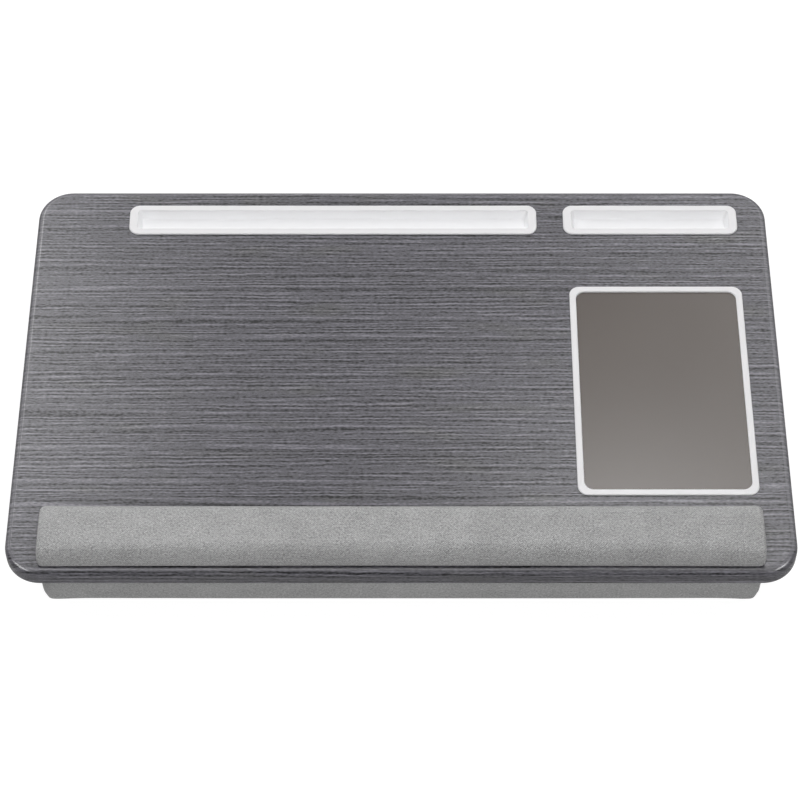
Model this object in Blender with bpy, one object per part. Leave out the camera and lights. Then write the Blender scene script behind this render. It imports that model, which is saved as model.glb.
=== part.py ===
"""Lap desk: a grained board with two slot trays, a framed mouse pad, a wrist rest and a cushion.

Metres, +Z up. The origin is the middle of the footprint on the surface that the cushion lies on:
X runs to the right along the board, Y runs to its back edge and Z runs up through the stack.
"""

import math
from typing import NamedTuple

import bmesh
import bpy
from mathutils import Vector

# Board: an MDF core, a decor foil over its top and edges, a balancing sheet below
BOARD_WIDTH = 0.590
BOARD_DEPTH = 0.365
BOARD_THICKNESS = 0.015
BOARD_CORNER_RADIUS = 0.027
BOARD_TOP_EDGE_RADIUS = 0.005
BOARD_BOTTOM_EDGE_RADIUS = 0.002
FOIL_THICKNESS = 0.0004
FOIL_LAP = 0.003
BACKING_THICKNESS = 0.0004
DECK_MARGIN = 0.004
TOP_EASE = 0.0001

# Pieces that are pressed or taped together keep this much apart
SEAT_GAP = 0.0003

# Slot trays: moulded troughs with a flange that lies on the board
TRAY_DEPTH = 0.0296
TRAY_BACK_MARGIN = 0.0164
TABLET_TRAY_LEFT_MARGIN = 0.0744
TRAY_SPACING = 0.0215
PHONE_TRAY_LENGTH = 0.1408
PHONE_TRAY_RIGHT_MARGIN = 0.0238
TRAY_CORNER_RADIUS = 0.0078
FLANGE_SIDE_WIDTH = 0.0057
FLANGE_END_WIDTH = 0.0069
FLANGE_THICKNESS = 0.0012
FLANGE_RIM_RADIUS = 0.0009
TROUGH_DEPTH = 0.0095
TROUGH_WALL = 0.0015
TROUGH_CORNER_RADIUS = 0.0022
TROUGH_FLOOR_RADIUS = 0.0013
TROUGH_END_DRAFT = math.radians(13)
TROUGH_SIDE_DRAFT = math.radians(5)
POCKET_CLEARANCE = 0.0010
RIB_WIDTH = 0.0012
RIB_SPACING = 0.042
RIB_FOOT = 0.0015
TRAY_TAPE_THICKNESS = 0.0008
TRAY_TAPE_MARGIN = 0.0025

# Mouse pad: a moulded ring round a sheet on a thin foam
PAD_WIDTH = 0.137
PAD_RIGHT_MARGIN = 0.025
PAD_TRAY_SPACING = 0.0534
PAD_REST_SPACING = 0.0144
PAD_CORNER_RADIUS = 0.008
PAD_OPENING_RADIUS = 0.0065
PAD_BAND_WIDTH = 0.0045
PAD_LEG_WIDTH = 0.002
PAD_FRAME_THICKNESS = 0.0011
PAD_FRAME_RIM_RADIUS = 0.0008
PAD_SHEET_DROP = 0.0002
PAD_SHEET_THICKNESS = 0.0008
PAD_FOAM_THICKNESS = 0.0012
PAD_ADHESIVE_THICKNESS = 0.0004
PAD_RECESS_CLEARANCE = 0.0005

# Fabric of the wrist rest's and the cushion's covers
FABRIC_THICKNESS = 0.0010

# Wrist rest: foam on a stiff strip, wrapped in fabric
REST_LENGTH = 0.538
REST_DEPTH = 0.048
REST_HEIGHT = 0.016
REST_FRONT_INSET = 0.006
REST_FRONT_RADIUS = 0.010
REST_BACK_RADIUS = 0.011
REST_END_RADIUS = 0.0045
REST_SEAT_RADIUS = 0.0016
REST_CROWN = 0.0008
REST_BULGE = 0.0005
REST_DRAW_IN = 0.0003
REST_HEM = 0.008
REST_BASE_THICKNESS = 0.0016
REST_TAPE_WIDTH = 0.009
REST_TAPE_MARGIN = 0.0015

# Cushion: contoured foam under a stiff panel, in a fabric cover with a channel along its underside
CUSHION_HEIGHT = 0.0455
CUSHION_FRONT_INSET = 0.0105
CUSHION_SIDE_INSET = 0.0249
CUSHION_EDGE_RADIUS = 0.0115
CUSHION_END_RADIUS = 0.0098
CUSHION_SEAT_RADIUS = 0.002
CUSHION_BULGE = 0.0018
CUSHION_DRAW_IN = 0.0010
CUSHION_EDGE_RISE = 0.0022
CUSHION_FLAT_CUT = 0.0005
CHANNEL_WIDTH = 0.058
CHANNEL_DEPTH = 0.013
CUSHION_HEM = 0.020
CUSHION_PANEL_THICKNESS = 0.0025
CUSHION_TAPE_WIDTH = 0.020
CUSHION_TAPE_MARGIN = 0.004

# Construction
CUT_OVERRUN = 0.004
MATCH_TOLERANCE = 0.000002
BOARD_CORNER_SEGMENTS = 8
BOARD_RIM_SEGMENTS = 3
SMALL_CORNER_SEGMENTS = 4
SMALL_RIM_SEGMENTS = 2
SOFT_SEGMENTS = 4
SHARP_ANGLE = math.radians(35)

# A soft form's ends are rounded to no more than this share of its crest edges' radius
END_RADIUS_LIMIT_SHARE = 0.9

# Shares of half the length or depth at which a soft form is divided, so that it can bend
REST_LENGTH_SHARES = (-0.6, 0.0, 0.6)
REST_DEPTH_SHARES = (-0.3, 0.0, 0.3)
CUSHION_LENGTH_SHARES = (-0.75, -0.4, 0.0, 0.4, 0.75)
LOBE_DEPTH_SHARES = (0.35, 0.62)
CHANNEL_SHARES = (0.0, 0.4, 0.75, 1.0)

# Heights of the stack, from the surface under the cushion
BOARD_BOTTOM = CUSHION_HEIGHT + SEAT_GAP
BOARD_TOP = BOARD_BOTTOM + BOARD_THICKNESS
FLANGE_BOTTOM = BOARD_TOP + SEAT_GAP
FLANGE_TOP = FLANGE_BOTTOM + FLANGE_THICKNESS
TROUGH_FLOOR = FLANGE_TOP - TROUGH_DEPTH
TRAY_TAPE_TOP = TROUGH_FLOOR - TROUGH_WALL - SEAT_GAP
TRAY_POCKET_FLOOR = TRAY_TAPE_TOP - TRAY_TAPE_THICKNESS - SEAT_GAP
PAD_FRAME_TOP = BOARD_TOP + SEAT_GAP + PAD_FRAME_THICKNESS
PAD_SHEET_TOP = BOARD_TOP - PAD_SHEET_DROP
PAD_FOAM_TOP = PAD_SHEET_TOP - PAD_SHEET_THICKNESS - SEAT_GAP
PAD_ADHESIVE_TOP = PAD_FOAM_TOP - PAD_FOAM_THICKNESS - SEAT_GAP
PAD_RECESS_FLOOR = PAD_ADHESIVE_TOP - PAD_ADHESIVE_THICKNESS - SEAT_GAP
REST_BOTTOM = BOARD_TOP + SEAT_GAP
REST_BASE_BOTTOM = REST_BOTTOM + FABRIC_THICKNESS + SEAT_GAP
REST_FOAM_BOTTOM = REST_BASE_BOTTOM + REST_BASE_THICKNESS + SEAT_GAP
CUSHION_PANEL_TOP = CUSHION_HEIGHT - FABRIC_THICKNESS - SEAT_GAP
CUSHION_FOAM_TOP = CUSHION_PANEL_TOP - CUSHION_PANEL_THICKNESS - SEAT_GAP

# Linear colours
GREY_GRAIN = (0.135, 0.134, 0.140)
FIBREBOARD = (0.42, 0.30, 0.19)
WHITE_PAPER = (0.62, 0.62, 0.60)
WHITE_PLASTIC = (0.83, 0.83, 0.84)
WARM_GREY = (0.175, 0.165, 0.155)
PALE_FABRIC = (0.36, 0.36, 0.36)
PALE_FOAM = (0.78, 0.76, 0.66)
DARK_FOAM = (0.05, 0.05, 0.05)
TAPE_WHITE = (0.75, 0.75, 0.72)
CLEAR_FILM = (0.70, 0.72, 0.74)


class Plan(NamedTuple):
    """A rounded rectangle seen from above: its centre, its two sizes and its corner radius."""

    x: float
    y: float
    length: float
    depth: float
    radius: float

    def grown(self, margin):
        """The same rectangle with its outline moved outwards by margin, or inwards if negative."""
        radius = max(self.radius + margin, MATCH_TOLERANCE)
        return Plan(self.x, self.y, self.length + 2 * margin, self.depth + 2 * margin, radius)


class SoftForm(NamedTuple):
    """A padded bar: a block whose crest edges and ends are rounded, and whose seat is flat.

    The crest is the side that shows: the top of the wrist rest, or the underside of the cushion.
    """

    x: float
    y: float
    length: float
    depth: float
    seat: float
    crest: float
    front_radius: float
    back_radius: float
    end_radius: float
    seat_radius: float

    def inset(self, wall):
        """The form one wall further in on every side, with its rounded edges concentric."""
        inwards = math.copysign(wall, self.crest - self.seat)
        return SoftForm(
            self.x, self.y, self.length - 2 * wall, self.depth - 2 * wall,
            self.seat + inwards, self.crest - inwards,
            self.front_radius - wall, self.back_radius - wall, self.end_radius - wall,
            max(self.seat_radius - wall, 0),
        )

    def plan(self):
        """The outline of the form's seat."""
        return Plan(self.x, self.y, self.length, self.depth, self.end_radius)


# Outlines, seen from above
TABLET_TRAY_LENGTH = (
    BOARD_WIDTH - TABLET_TRAY_LEFT_MARGIN - TRAY_SPACING - PHONE_TRAY_LENGTH - PHONE_TRAY_RIGHT_MARGIN
)
PAD_LENGTH = (
    BOARD_DEPTH - REST_FRONT_INSET - REST_DEPTH - PAD_REST_SPACING
    - PAD_TRAY_SPACING - TRAY_DEPTH - TRAY_BACK_MARGIN
)
TRAY_Y = BOARD_DEPTH / 2 - TRAY_BACK_MARGIN - TRAY_DEPTH / 2
TABLET_TRAY_X = -BOARD_WIDTH / 2 + TABLET_TRAY_LEFT_MARGIN + TABLET_TRAY_LENGTH / 2
PHONE_TRAY_X = BOARD_WIDTH / 2 - PHONE_TRAY_RIGHT_MARGIN - PHONE_TRAY_LENGTH / 2
PAD_X = BOARD_WIDTH / 2 - PAD_RIGHT_MARGIN - PAD_WIDTH / 2
PAD_Y = TRAY_Y - TRAY_DEPTH / 2 - PAD_TRAY_SPACING - PAD_LENGTH / 2
REST_Y = -BOARD_DEPTH / 2 + REST_FRONT_INSET + REST_DEPTH / 2

# The flat deck where a laptop stands, clear of the rest, the trays and the mouse pad
DECK_LEFT = -BOARD_WIDTH / 2 + BOARD_CORNER_RADIUS + DECK_MARGIN
DECK_RIGHT = PAD_X - PAD_WIDTH / 2 - DECK_MARGIN
DECK_FRONT = REST_Y + REST_DEPTH / 2 + DECK_MARGIN
DECK_BACK = TRAY_Y - TRAY_DEPTH / 2 - DECK_MARGIN

BOARD_PLAN = Plan(0, 0, BOARD_WIDTH, BOARD_DEPTH, BOARD_CORNER_RADIUS)
TABLET_TRAY_PLAN = Plan(TABLET_TRAY_X, TRAY_Y, TABLET_TRAY_LENGTH, TRAY_DEPTH, TRAY_CORNER_RADIUS)
PHONE_TRAY_PLAN = Plan(PHONE_TRAY_X, TRAY_Y, PHONE_TRAY_LENGTH, TRAY_DEPTH, TRAY_CORNER_RADIUS)
PAD_PLAN = Plan(PAD_X, PAD_Y, PAD_WIDTH, PAD_LENGTH, PAD_CORNER_RADIUS)
PAD_OPENING = PAD_PLAN.grown(-PAD_BAND_WIDTH)._replace(radius=PAD_OPENING_RADIUS)
REST_FORM = SoftForm(
    0, REST_Y, REST_LENGTH, REST_DEPTH, REST_BOTTOM, REST_BOTTOM + REST_HEIGHT,
    REST_FRONT_RADIUS, REST_BACK_RADIUS,
    min(REST_END_RADIUS, END_RADIUS_LIMIT_SHARE * min(REST_FRONT_RADIUS, REST_BACK_RADIUS)),
    REST_SEAT_RADIUS,
)
CUSHION_FORM = SoftForm(
    0, 0, BOARD_WIDTH - 2 * CUSHION_SIDE_INSET, BOARD_DEPTH - 2 * CUSHION_FRONT_INSET,
    CUSHION_HEIGHT, 0,
    CUSHION_EDGE_RADIUS, CUSHION_EDGE_RADIUS,
    min(CUSHION_END_RADIUS, END_RADIUS_LIMIT_SHARE * CUSHION_EDGE_RADIUS), CUSHION_SEAT_RADIUS,
)


def clear_scene():
    """Remove the objects of the open scene."""
    for item in list(bpy.data.objects):
        bpy.data.objects.remove(item, do_unlink=True)


def new_collection(name):
    """A collection in the scene for one group of objects."""
    collection = bpy.data.collections.new(name)
    bpy.context.scene.collection.children.link(collection)
    return collection


def new_material(name, colour, roughness, metallic=0.0):
    """A material with one Principled BSDF."""
    material = bpy.data.materials.new(name)
    material.use_nodes = True
    shader = material.node_tree.nodes["Principled BSDF"]
    shader.inputs["Base Color"].default_value = (*colour, 1.0)
    shader.inputs["Roughness"].default_value = roughness
    shader.inputs["Metallic"].default_value = metallic
    return material


def new_object(name, bm, collection):
    """An object that holds the bmesh, shaded smooth across its rounded edges."""
    bmesh.ops.recalc_face_normals(bm, faces=bm.faces)
    mesh = bpy.data.meshes.new(name)
    bm.to_mesh(mesh)
    bm.free()
    mesh.shade_smooth()
    mesh.set_sharp_from_angle(angle=SHARP_ANGLE)
    item = bpy.data.objects.new(name, mesh)
    collection.objects.link(item)
    return item


def as_tool(item):
    """Mark an object as one that only cuts or joins another."""
    item.hide_render = True
    item.display_type = "WIRE"
    return item


def combine(target, tool, operation):
    """Cut the tool from the target, or join it on, with a Boolean modifier."""
    modifier = target.modifiers.new(f"{operation.lower()} {tool.name}", "BOOLEAN")
    modifier.operation = operation
    modifier.solver = "EXACT"
    modifier.object = tool


def block(plan, bottom, top):
    """A plain box over a plan, as a bmesh."""
    bm = bmesh.new()
    bmesh.ops.create_cube(bm, size=1.0)
    bmesh.ops.scale(bm, vec=Vector((plan.length, plan.depth, top - bottom)), verts=bm.verts)
    centre = Vector((plan.x, plan.y, (top + bottom) / 2))
    bmesh.ops.translate(bm, vec=centre, verts=bm.verts)
    return bm


def is_at(vertex, axis, place):
    """True where a vertex lies in the plane across an axis at a place."""
    return abs(vertex.co[axis] - place) < MATCH_TOLERANCE


def edges_along(bm, axis):
    """The edges that run parallel to an axis."""
    others = [i for i in range(3) if i != axis]
    return [e for e in bm.edges if all(is_at(e.verts[0], i, e.verts[1].co[i]) for i in others)]


def rim(bm, axis, place):
    """The edges round the flat face that lies across an axis at a place."""
    flat = {f for f in bm.faces if all(is_at(v, axis, place) for v in f.verts)}
    return [e for e in bm.edges if len(flat.intersection(e.link_faces)) == 1]


def round_off(bm, edges, radius, segments):
    """Round a set of edges to a radius."""
    if radius > 0:
        bmesh.ops.bevel(
            bm, geom=edges, offset=radius, offset_type="OFFSET", segments=segments,
            profile=0.5, affect="EDGES", clamp_overlap=True,
        )


def divide(bm, axis, places):
    """Run an edge loop round the mesh across an axis at each place."""
    normal = Vector([1.0 if i == axis else 0.0 for i in range(3)])
    for place in places:
        everything = list(bm.verts) + list(bm.edges) + list(bm.faces)
        bmesh.ops.bisect_plane(bm, geom=everything, dist=MATCH_TOLERANCE,
                               plane_co=normal * place, plane_no=normal)


def plate(plan, bottom, top, top_radius=0, bottom_radius=0,
          segments=SMALL_CORNER_SEGMENTS, rim_segments=SMALL_RIM_SEGMENTS):
    """A plate with round corners in plan and, where a radius is given, a rounded rim."""
    bm = block(plan, bottom, top)
    round_off(bm, edges_along(bm, 2), plan.radius, segments)
    round_off(bm, rim(bm, 2, top), top_radius, rim_segments)
    round_off(bm, rim(bm, 2, bottom), bottom_radius, rim_segments)
    return bm


def draft(bm, plan, mouth, end_slope, side_slope):
    """Lean a form's ends and sides inwards as they go down from the height of its mouth."""
    for vertex in bm.verts:
        drop = mouth - vertex.co.z
        vertex.co.x -= math.copysign(drop * end_slope, vertex.co.x - plan.x)
        vertex.co.y -= math.copysign(drop * side_slope, vertex.co.y - plan.y)


def soft_block(form, length_places, depth_places):
    """A padded bar: a divided box with round crest edges, round ends and a small seat edge."""
    bottom, top = sorted((form.seat, form.crest))
    bm = block(form.plan(), bottom, top)
    divide(bm, 0, length_places)
    divide(bm, 1, depth_places)
    for y, radius in (
        (form.y - form.depth / 2, form.front_radius),
        (form.y + form.depth / 2, form.back_radius),
    ):
        crest_edge = [e for e in rim(bm, 1, y) if all(is_at(v, 2, form.crest) for v in e.verts)]
        round_off(bm, crest_edge, radius, SOFT_SEGMENTS)
    for x in (form.x - form.length / 2, form.x + form.length / 2):
        end_edges = [e for e in rim(bm, 0, x) if not all(is_at(v, 2, form.seat) for v in e.verts)]
        round_off(bm, end_edges, form.end_radius, SOFT_SEGMENTS)
    round_off(bm, rim(bm, 2, form.seat), form.seat_radius, SMALL_RIM_SEGMENTS)
    return bm


def places_from_shares(centre, size, shares):
    """Places along a length, from shares of half of it."""
    return [centre + share * size / 2 for share in shares]


def bend_rest(bm):
    """Give the wrist rest its crown, and sides that swell less in the middle of its length.

    The crest rises by the crown times one minus the square of the share of the depth. Both long
    sides swell as a parabola over the height, by the bulge less the draw-in at mid-length.
    """
    for vertex in bm.verts:
        along = 2 * vertex.co.x / REST_LENGTH
        across = 2 * (vertex.co.y - REST_Y) / REST_DEPTH
        height = (vertex.co.z - REST_BOTTOM) / REST_HEIGHT
        belly = 4 * height * (1 - height)
        vertex.co.z += height * REST_CROWN * (1 - across ** 2)
        vertex.co.x += along * belly * (REST_BULGE - REST_DRAW_IN * (1 - across ** 2))
        vertex.co.y += across * belly * (REST_BULGE - REST_DRAW_IN * (1 - along ** 2))


def channel_rise(y):
    """Height of the channel's roof above the underside: a squared cosine across its width."""
    share = min(abs(y) / (CHANNEL_WIDTH / 2), 1)
    return CHANNEL_DEPTH * math.cos(share * math.pi / 2) ** 2


def bend_cushion(bm):
    """Give the cushion its channel, its crown and its drawn-in sides.

    The underside hangs lowest under the middle of each lobe and rises with the fourth power of the
    distance towards every edge. The sides swell as a parabola over the height, by the bulge less
    the draw-in midway between two corners. All of it dies out at the stiff panel above the foam.
    """
    lobe_middle = (CUSHION_FORM.depth / 2 + CHANNEL_WIDTH / 2) / 2
    for vertex in bm.verts:
        x, y, z = vertex.co
        along = 2 * x / CUSHION_FORM.length
        across = 2 * y / CUSHION_FORM.depth
        off_lobe = (abs(y) - lobe_middle) / (CUSHION_FORM.depth / 2 - lobe_middle)
        rise = CUSHION_EDGE_RISE * (min(abs(off_lobe), 1) ** 4 + along ** 4) / 2
        fade = max(1 - z / CUSHION_FOAM_TOP, 0)
        height = z / CUSHION_HEIGHT
        belly = 4 * height * (1 - height)
        vertex.co.z += fade * (rise + channel_rise(y) - CUSHION_FLAT_CUT)
        vertex.co.x += along * belly * (CUSHION_BULGE - CUSHION_DRAW_IN * (1 - across ** 2))
        vertex.co.y += across * belly * (CUSHION_BULGE - CUSHION_DRAW_IN * (1 - along ** 2))


def rest_block(form):
    """A bar of the wrist rest's form, crowned."""
    bm = soft_block(
        form,
        places_from_shares(form.x, REST_LENGTH, REST_LENGTH_SHARES),
        places_from_shares(form.y, REST_DEPTH, REST_DEPTH_SHARES),
    )
    bend_rest(bm)
    return bm


def cushion_block(form):
    """A bar of the cushion's form, with its channel and its two lobes."""
    half_channel = CHANNEL_WIDTH / 2
    lobe_depth = CUSHION_FORM.depth / 2 - half_channel
    places = [share * half_channel for share in CHANNEL_SHARES]
    places += [half_channel + share * lobe_depth for share in LOBE_DEPTH_SHARES]
    bm = soft_block(
        form,
        places_from_shares(0, CUSHION_FORM.length, CUSHION_LENGTH_SHARES),
        sorted({side * place for place in places for side in (-1, 1)}),
    )
    bend_cushion(bm)
    return bm


def tray_opening(tray_plan):
    """The mouth of a tray's trough, inside its flange."""
    length = tray_plan.length - 2 * FLANGE_END_WIDTH
    depth = tray_plan.depth - 2 * FLANGE_SIDE_WIDTH
    return Plan(tray_plan.x, tray_plan.y, length, depth, TROUGH_CORNER_RADIUS)


def pocket_plan(tray_plan):
    """The routed pocket that a tray's trough drops into."""
    return tray_opening(tray_plan).grown(TROUGH_WALL + POCKET_CLEARANCE)


def recess_plan():
    """The shallow recess that the mouse pad's ring and sheet drop into."""
    return PAD_OPENING.grown(PAD_LEG_WIDTH + PAD_RECESS_CLEARANCE)


def make_recess_tools(tools):
    """The three routed recesses, cut through the foil and into the core."""
    top = BOARD_TOP + CUT_OVERRUN
    recesses = (
        ("tablet_pocket", pocket_plan(TABLET_TRAY_PLAN), TRAY_POCKET_FLOOR),
        ("phone_pocket", pocket_plan(PHONE_TRAY_PLAN), TRAY_POCKET_FLOOR),
        ("pad_recess", recess_plan(), PAD_RECESS_FLOOR),
    )
    return [
        as_tool(new_object(name, plate(plan, floor, top), tools)) for name, plan, floor in recesses
    ]


def is_on_deck(vertex):
    """True where a vertex lies within the outline of the flat deck."""
    x, y = vertex.co.x, vertex.co.y
    return (
        DECK_LEFT - MATCH_TOLERANCE < x < DECK_RIGHT + MATCH_TOLERANCE
        and DECK_FRONT - MATCH_TOLERANCE < y < DECK_BACK + MATCH_TOLERANCE
    )


def board_form(inset, bottom):
    """The board's outer form, moved inwards by an inset, down to a given underside.

    The top is flat on the deck. Sanding eases it from there, so it falls a little to the rim.
    """
    bm = plate(
        BOARD_PLAN.grown(-inset), bottom, BOARD_TOP - inset,
        BOARD_TOP_EDGE_RADIUS - inset, BOARD_BOTTOM_EDGE_RADIUS - inset,
        BOARD_CORNER_SEGMENTS, BOARD_RIM_SEGMENTS,
    )
    divide(bm, 0, (DECK_LEFT, DECK_RIGHT))
    divide(bm, 1, (DECK_FRONT, DECK_BACK))
    for vertex in bm.verts:
        if not is_on_deck(vertex):
            vertex.co.z -= TOP_EASE * (vertex.co.z - BOARD_BOTTOM) / BOARD_THICKNESS
    return bm


def make_core(parts, recesses):
    """The MDF core, inside the foil and above the backing sheet."""
    inset = FOIL_THICKNESS + SEAT_GAP
    form = board_form(inset, BOARD_BOTTOM + BACKING_THICKNESS + SEAT_GAP)
    core = new_object("board_core", form, parts)
    for recess in recesses:
        combine(core, recess, "DIFFERENCE")
    return core


def make_foil(parts, tools, recesses):
    """The decor foil: a skin over the top and the edges that laps under the board's rim."""
    foil = new_object("decor_foil", board_form(0, BOARD_BOTTOM), parts)
    inner_form = board_form(FOIL_THICKNESS, BOARD_BOTTOM + FOIL_THICKNESS)
    inner = as_tool(new_object("foil_inside", inner_form, tools))
    window_plan = BOARD_PLAN.grown(-BOARD_BOTTOM_EDGE_RADIUS - FOIL_LAP)
    window_form = plate(
        window_plan, BOARD_BOTTOM - CUT_OVERRUN, BOARD_BOTTOM + FOIL_THICKNESS + CUT_OVERRUN / 2,
        segments=BOARD_CORNER_SEGMENTS,
    )
    window = as_tool(new_object("foil_window", window_form, tools))
    for tool in (inner, window, *recesses):
        combine(foil, tool, "DIFFERENCE")
    return foil


def make_backing(parts):
    """The balancing sheet on the underside, inside the foil's lap."""
    plan = BOARD_PLAN.grown(-BOARD_BOTTOM_EDGE_RADIUS - FOIL_LAP - SEAT_GAP)
    form = plate(plan, BOARD_BOTTOM, BOARD_BOTTOM + BACKING_THICKNESS, segments=BOARD_CORNER_SEGMENTS)
    return new_object("backing_sheet", form, parts)


def trough_block(tray_plan, wall, mouth, floor):
    """A trough form one wall outside the opening: drafted, with round corners and floor edges."""
    plan = tray_opening(tray_plan).grown(wall)
    bm = plate(plan, floor, mouth, bottom_radius=TROUGH_FLOOR_RADIUS + wall / 2)
    draft(bm, plan, FLANGE_TOP, math.tan(TROUGH_END_DRAFT), math.tan(TROUGH_SIDE_DRAFT))
    return bm


def rib_block(tray_plan):
    """Crush ribs at even steps down both long sides of a trough, out to the pocket's wall."""
    opening = tray_opening(tray_plan)
    reach = pocket_plan(tray_plan).depth - 2 * SEAT_GAP
    root = opening.depth + TROUGH_WALL - 2 * TROUGH_DEPTH * math.tan(TROUGH_SIDE_DRAFT)
    height = (reach - root) / 2
    count = max(int(opening.length // RIB_SPACING), 2)
    bm = bmesh.new()
    for index in range(count):
        x = tray_plan.x + (index - (count - 1) / 2) * RIB_SPACING
        for side in (-1, 1):
            y = tray_plan.y + side * (root + height) / 2
            plan = Plan(x, y, RIB_WIDTH, height, 0)
            rib = block(plan, TROUGH_FLOOR + RIB_FOOT, FLANGE_BOTTOM + SEAT_GAP)
            mesh = bpy.data.meshes.new("rib")
            rib.to_mesh(mesh)
            rib.free()
            bm.from_mesh(mesh)
            bpy.data.meshes.remove(mesh)
    return bm


def make_tray(name, tray_plan, parts, tools):
    """A moulded tray: flange and trough in one, hollowed by its drafted opening, with crush ribs."""
    flange_form = plate(tray_plan, FLANGE_BOTTOM, FLANGE_TOP, top_radius=FLANGE_RIM_RADIUS)
    tray = new_object(name, flange_form, parts)
    inside_flange = FLANGE_BOTTOM + FLANGE_THICKNESS / 2
    outside = trough_block(tray_plan, TROUGH_WALL, inside_flange, TROUGH_FLOOR - TROUGH_WALL)
    combine(tray, as_tool(new_object(f"{name}_outside", outside, tools)), "UNION")
    combine(tray, as_tool(new_object(f"{name}_ribs", rib_block(tray_plan), tools)), "UNION")
    opening = trough_block(tray_plan, 0, FLANGE_TOP + CUT_OVERRUN, TROUGH_FLOOR)
    combine(tray, as_tool(new_object(f"{name}_opening", opening, tools)), "DIFFERENCE")
    return tray


def make_tray_tape(name, tray_plan, parts):
    """The tape between a trough's underside and the floor of its pocket."""
    opening = tray_opening(tray_plan)
    length = opening.length - 2 * (TROUGH_DEPTH * math.tan(TROUGH_END_DRAFT) + TRAY_TAPE_MARGIN)
    depth = opening.depth - 2 * (TROUGH_DEPTH * math.tan(TROUGH_SIDE_DRAFT) + TRAY_TAPE_MARGIN)
    form = block(Plan(tray_plan.x, tray_plan.y, length, depth, 0),
                 TRAY_TAPE_TOP - TRAY_TAPE_THICKNESS, TRAY_TAPE_TOP)
    return new_object(name, form, parts)


def make_pad_frame(parts, tools):
    """The mouse pad's ring: a band on the board and a leg down into the recess."""
    band = plate(PAD_PLAN, BOARD_TOP + SEAT_GAP, PAD_FRAME_TOP, top_radius=PAD_FRAME_RIM_RADIUS)
    frame = new_object("mouse_pad_frame", band, parts)
    leg_top = PAD_FRAME_TOP - PAD_FRAME_THICKNESS / 2
    leg = plate(PAD_OPENING.grown(PAD_LEG_WIDTH), PAD_RECESS_FLOOR + SEAT_GAP, leg_top)
    combine(frame, as_tool(new_object("pad_frame_leg", leg, tools)), "UNION")
    opening = plate(PAD_OPENING, PAD_RECESS_FLOOR - CUT_OVERRUN, PAD_FRAME_TOP + CUT_OVERRUN)
    combine(frame, as_tool(new_object("pad_frame_opening", opening, tools)), "DIFFERENCE")
    return frame


def make_pad_layer(name, top, thickness, parts):
    """One flat layer inside the mouse pad's ring."""
    return new_object(name, plate(PAD_OPENING.grown(-SEAT_GAP), top - thickness, top), parts)


def make_cover(name, outer, inner, window, parts, tools):
    """A fabric cover: an outer form hollowed by an inner one, open inside its hem."""
    cover = new_object(name, outer, parts)
    combine(cover, as_tool(new_object(f"{name}_inside", inner, tools)), "DIFFERENCE")
    combine(cover, as_tool(new_object(f"{name}_window", window, tools)), "DIFFERENCE")
    return cover


def hem_window(form, hem):
    """The opening in a cover's seat, inside its hem, cut through the fabric."""
    reach = math.copysign(FABRIC_THICKNESS + SEAT_GAP, form.crest - form.seat)
    overrun = math.copysign(CUT_OVERRUN, form.crest - form.seat)
    bottom, top = sorted((form.seat - overrun, form.seat + reach))
    return plate(form.plan().grown(-hem), bottom, top)


def make_rest_cover(parts, tools):
    """The wrist rest's cover, with its hem turned under the stiff base."""
    return make_cover(
        "wrist_rest_cover", rest_block(REST_FORM), rest_block(REST_FORM.inset(FABRIC_THICKNESS)),
        hem_window(REST_FORM, REST_HEM), parts, tools,
    )


def make_rest_foam(parts, tools):
    """The wrist rest's foam: the cover's inner form, cut flat above the base."""
    form = REST_FORM.inset(FABRIC_THICKNESS + SEAT_GAP)
    foam = new_object("wrist_rest_foam", rest_block(form), parts)
    below = block(form.plan().grown(CUT_OVERRUN), REST_BOTTOM - CUT_OVERRUN, REST_FOAM_BOTTOM)
    combine(foam, as_tool(new_object("rest_foam_seat", below, tools)), "DIFFERENCE")
    return foam


def make_rest_base(parts):
    """The stiff strip that the wrist rest's cover is wrapped round."""
    form = REST_FORM.inset(FABRIC_THICKNESS + SEAT_GAP)
    strip = plate(form.plan(), form.seat, form.seat + REST_BASE_THICKNESS, bottom_radius=form.seat_radius)
    return new_object("wrist_rest_base", strip, parts)


def make_rest_tapes(parts):
    """Two strips that hold the rest on the board, in the window of its hem."""
    window = REST_FORM.plan().grown(-REST_HEM - REST_TAPE_MARGIN)
    offset = window.depth / 2 - REST_TAPE_WIDTH / 2
    tapes = []
    for name, side in (("wrist_rest_tape_front", -1), ("wrist_rest_tape_back", 1)):
        plan = Plan(window.x, window.y + side * offset, window.length, REST_TAPE_WIDTH, 0)
        tapes.append(new_object(name, block(plan, REST_BOTTOM, REST_BASE_BOTTOM - SEAT_GAP), parts))
    return tapes


def make_cushion_cover(parts, tools):
    """The cushion's cover, cut flat where it lies down, with its hem turned over the panel."""
    cover = make_cover(
        "cushion_cover", cushion_block(CUSHION_FORM), cushion_block(CUSHION_FORM.inset(FABRIC_THICKNESS)),
        hem_window(CUSHION_FORM, CUSHION_HEM), parts, tools,
    )
    below = block(CUSHION_FORM.plan().grown(CUT_OVERRUN), -CUT_OVERRUN, 0)
    combine(cover, as_tool(new_object("cushion_flat", below, tools)), "DIFFERENCE")
    return cover


def make_cushion_foam(parts, tools):
    """The contoured foam inside the cover, cut flat under the panel."""
    form = CUSHION_FORM.inset(FABRIC_THICKNESS + SEAT_GAP)
    foam = new_object("cushion_foam", cushion_block(form), parts)
    above = block(form.plan().grown(CUT_OVERRUN), CUSHION_FOAM_TOP, CUSHION_HEIGHT + CUT_OVERRUN)
    combine(foam, as_tool(new_object("cushion_foam_top", above, tools)), "DIFFERENCE")
    return foam


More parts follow.
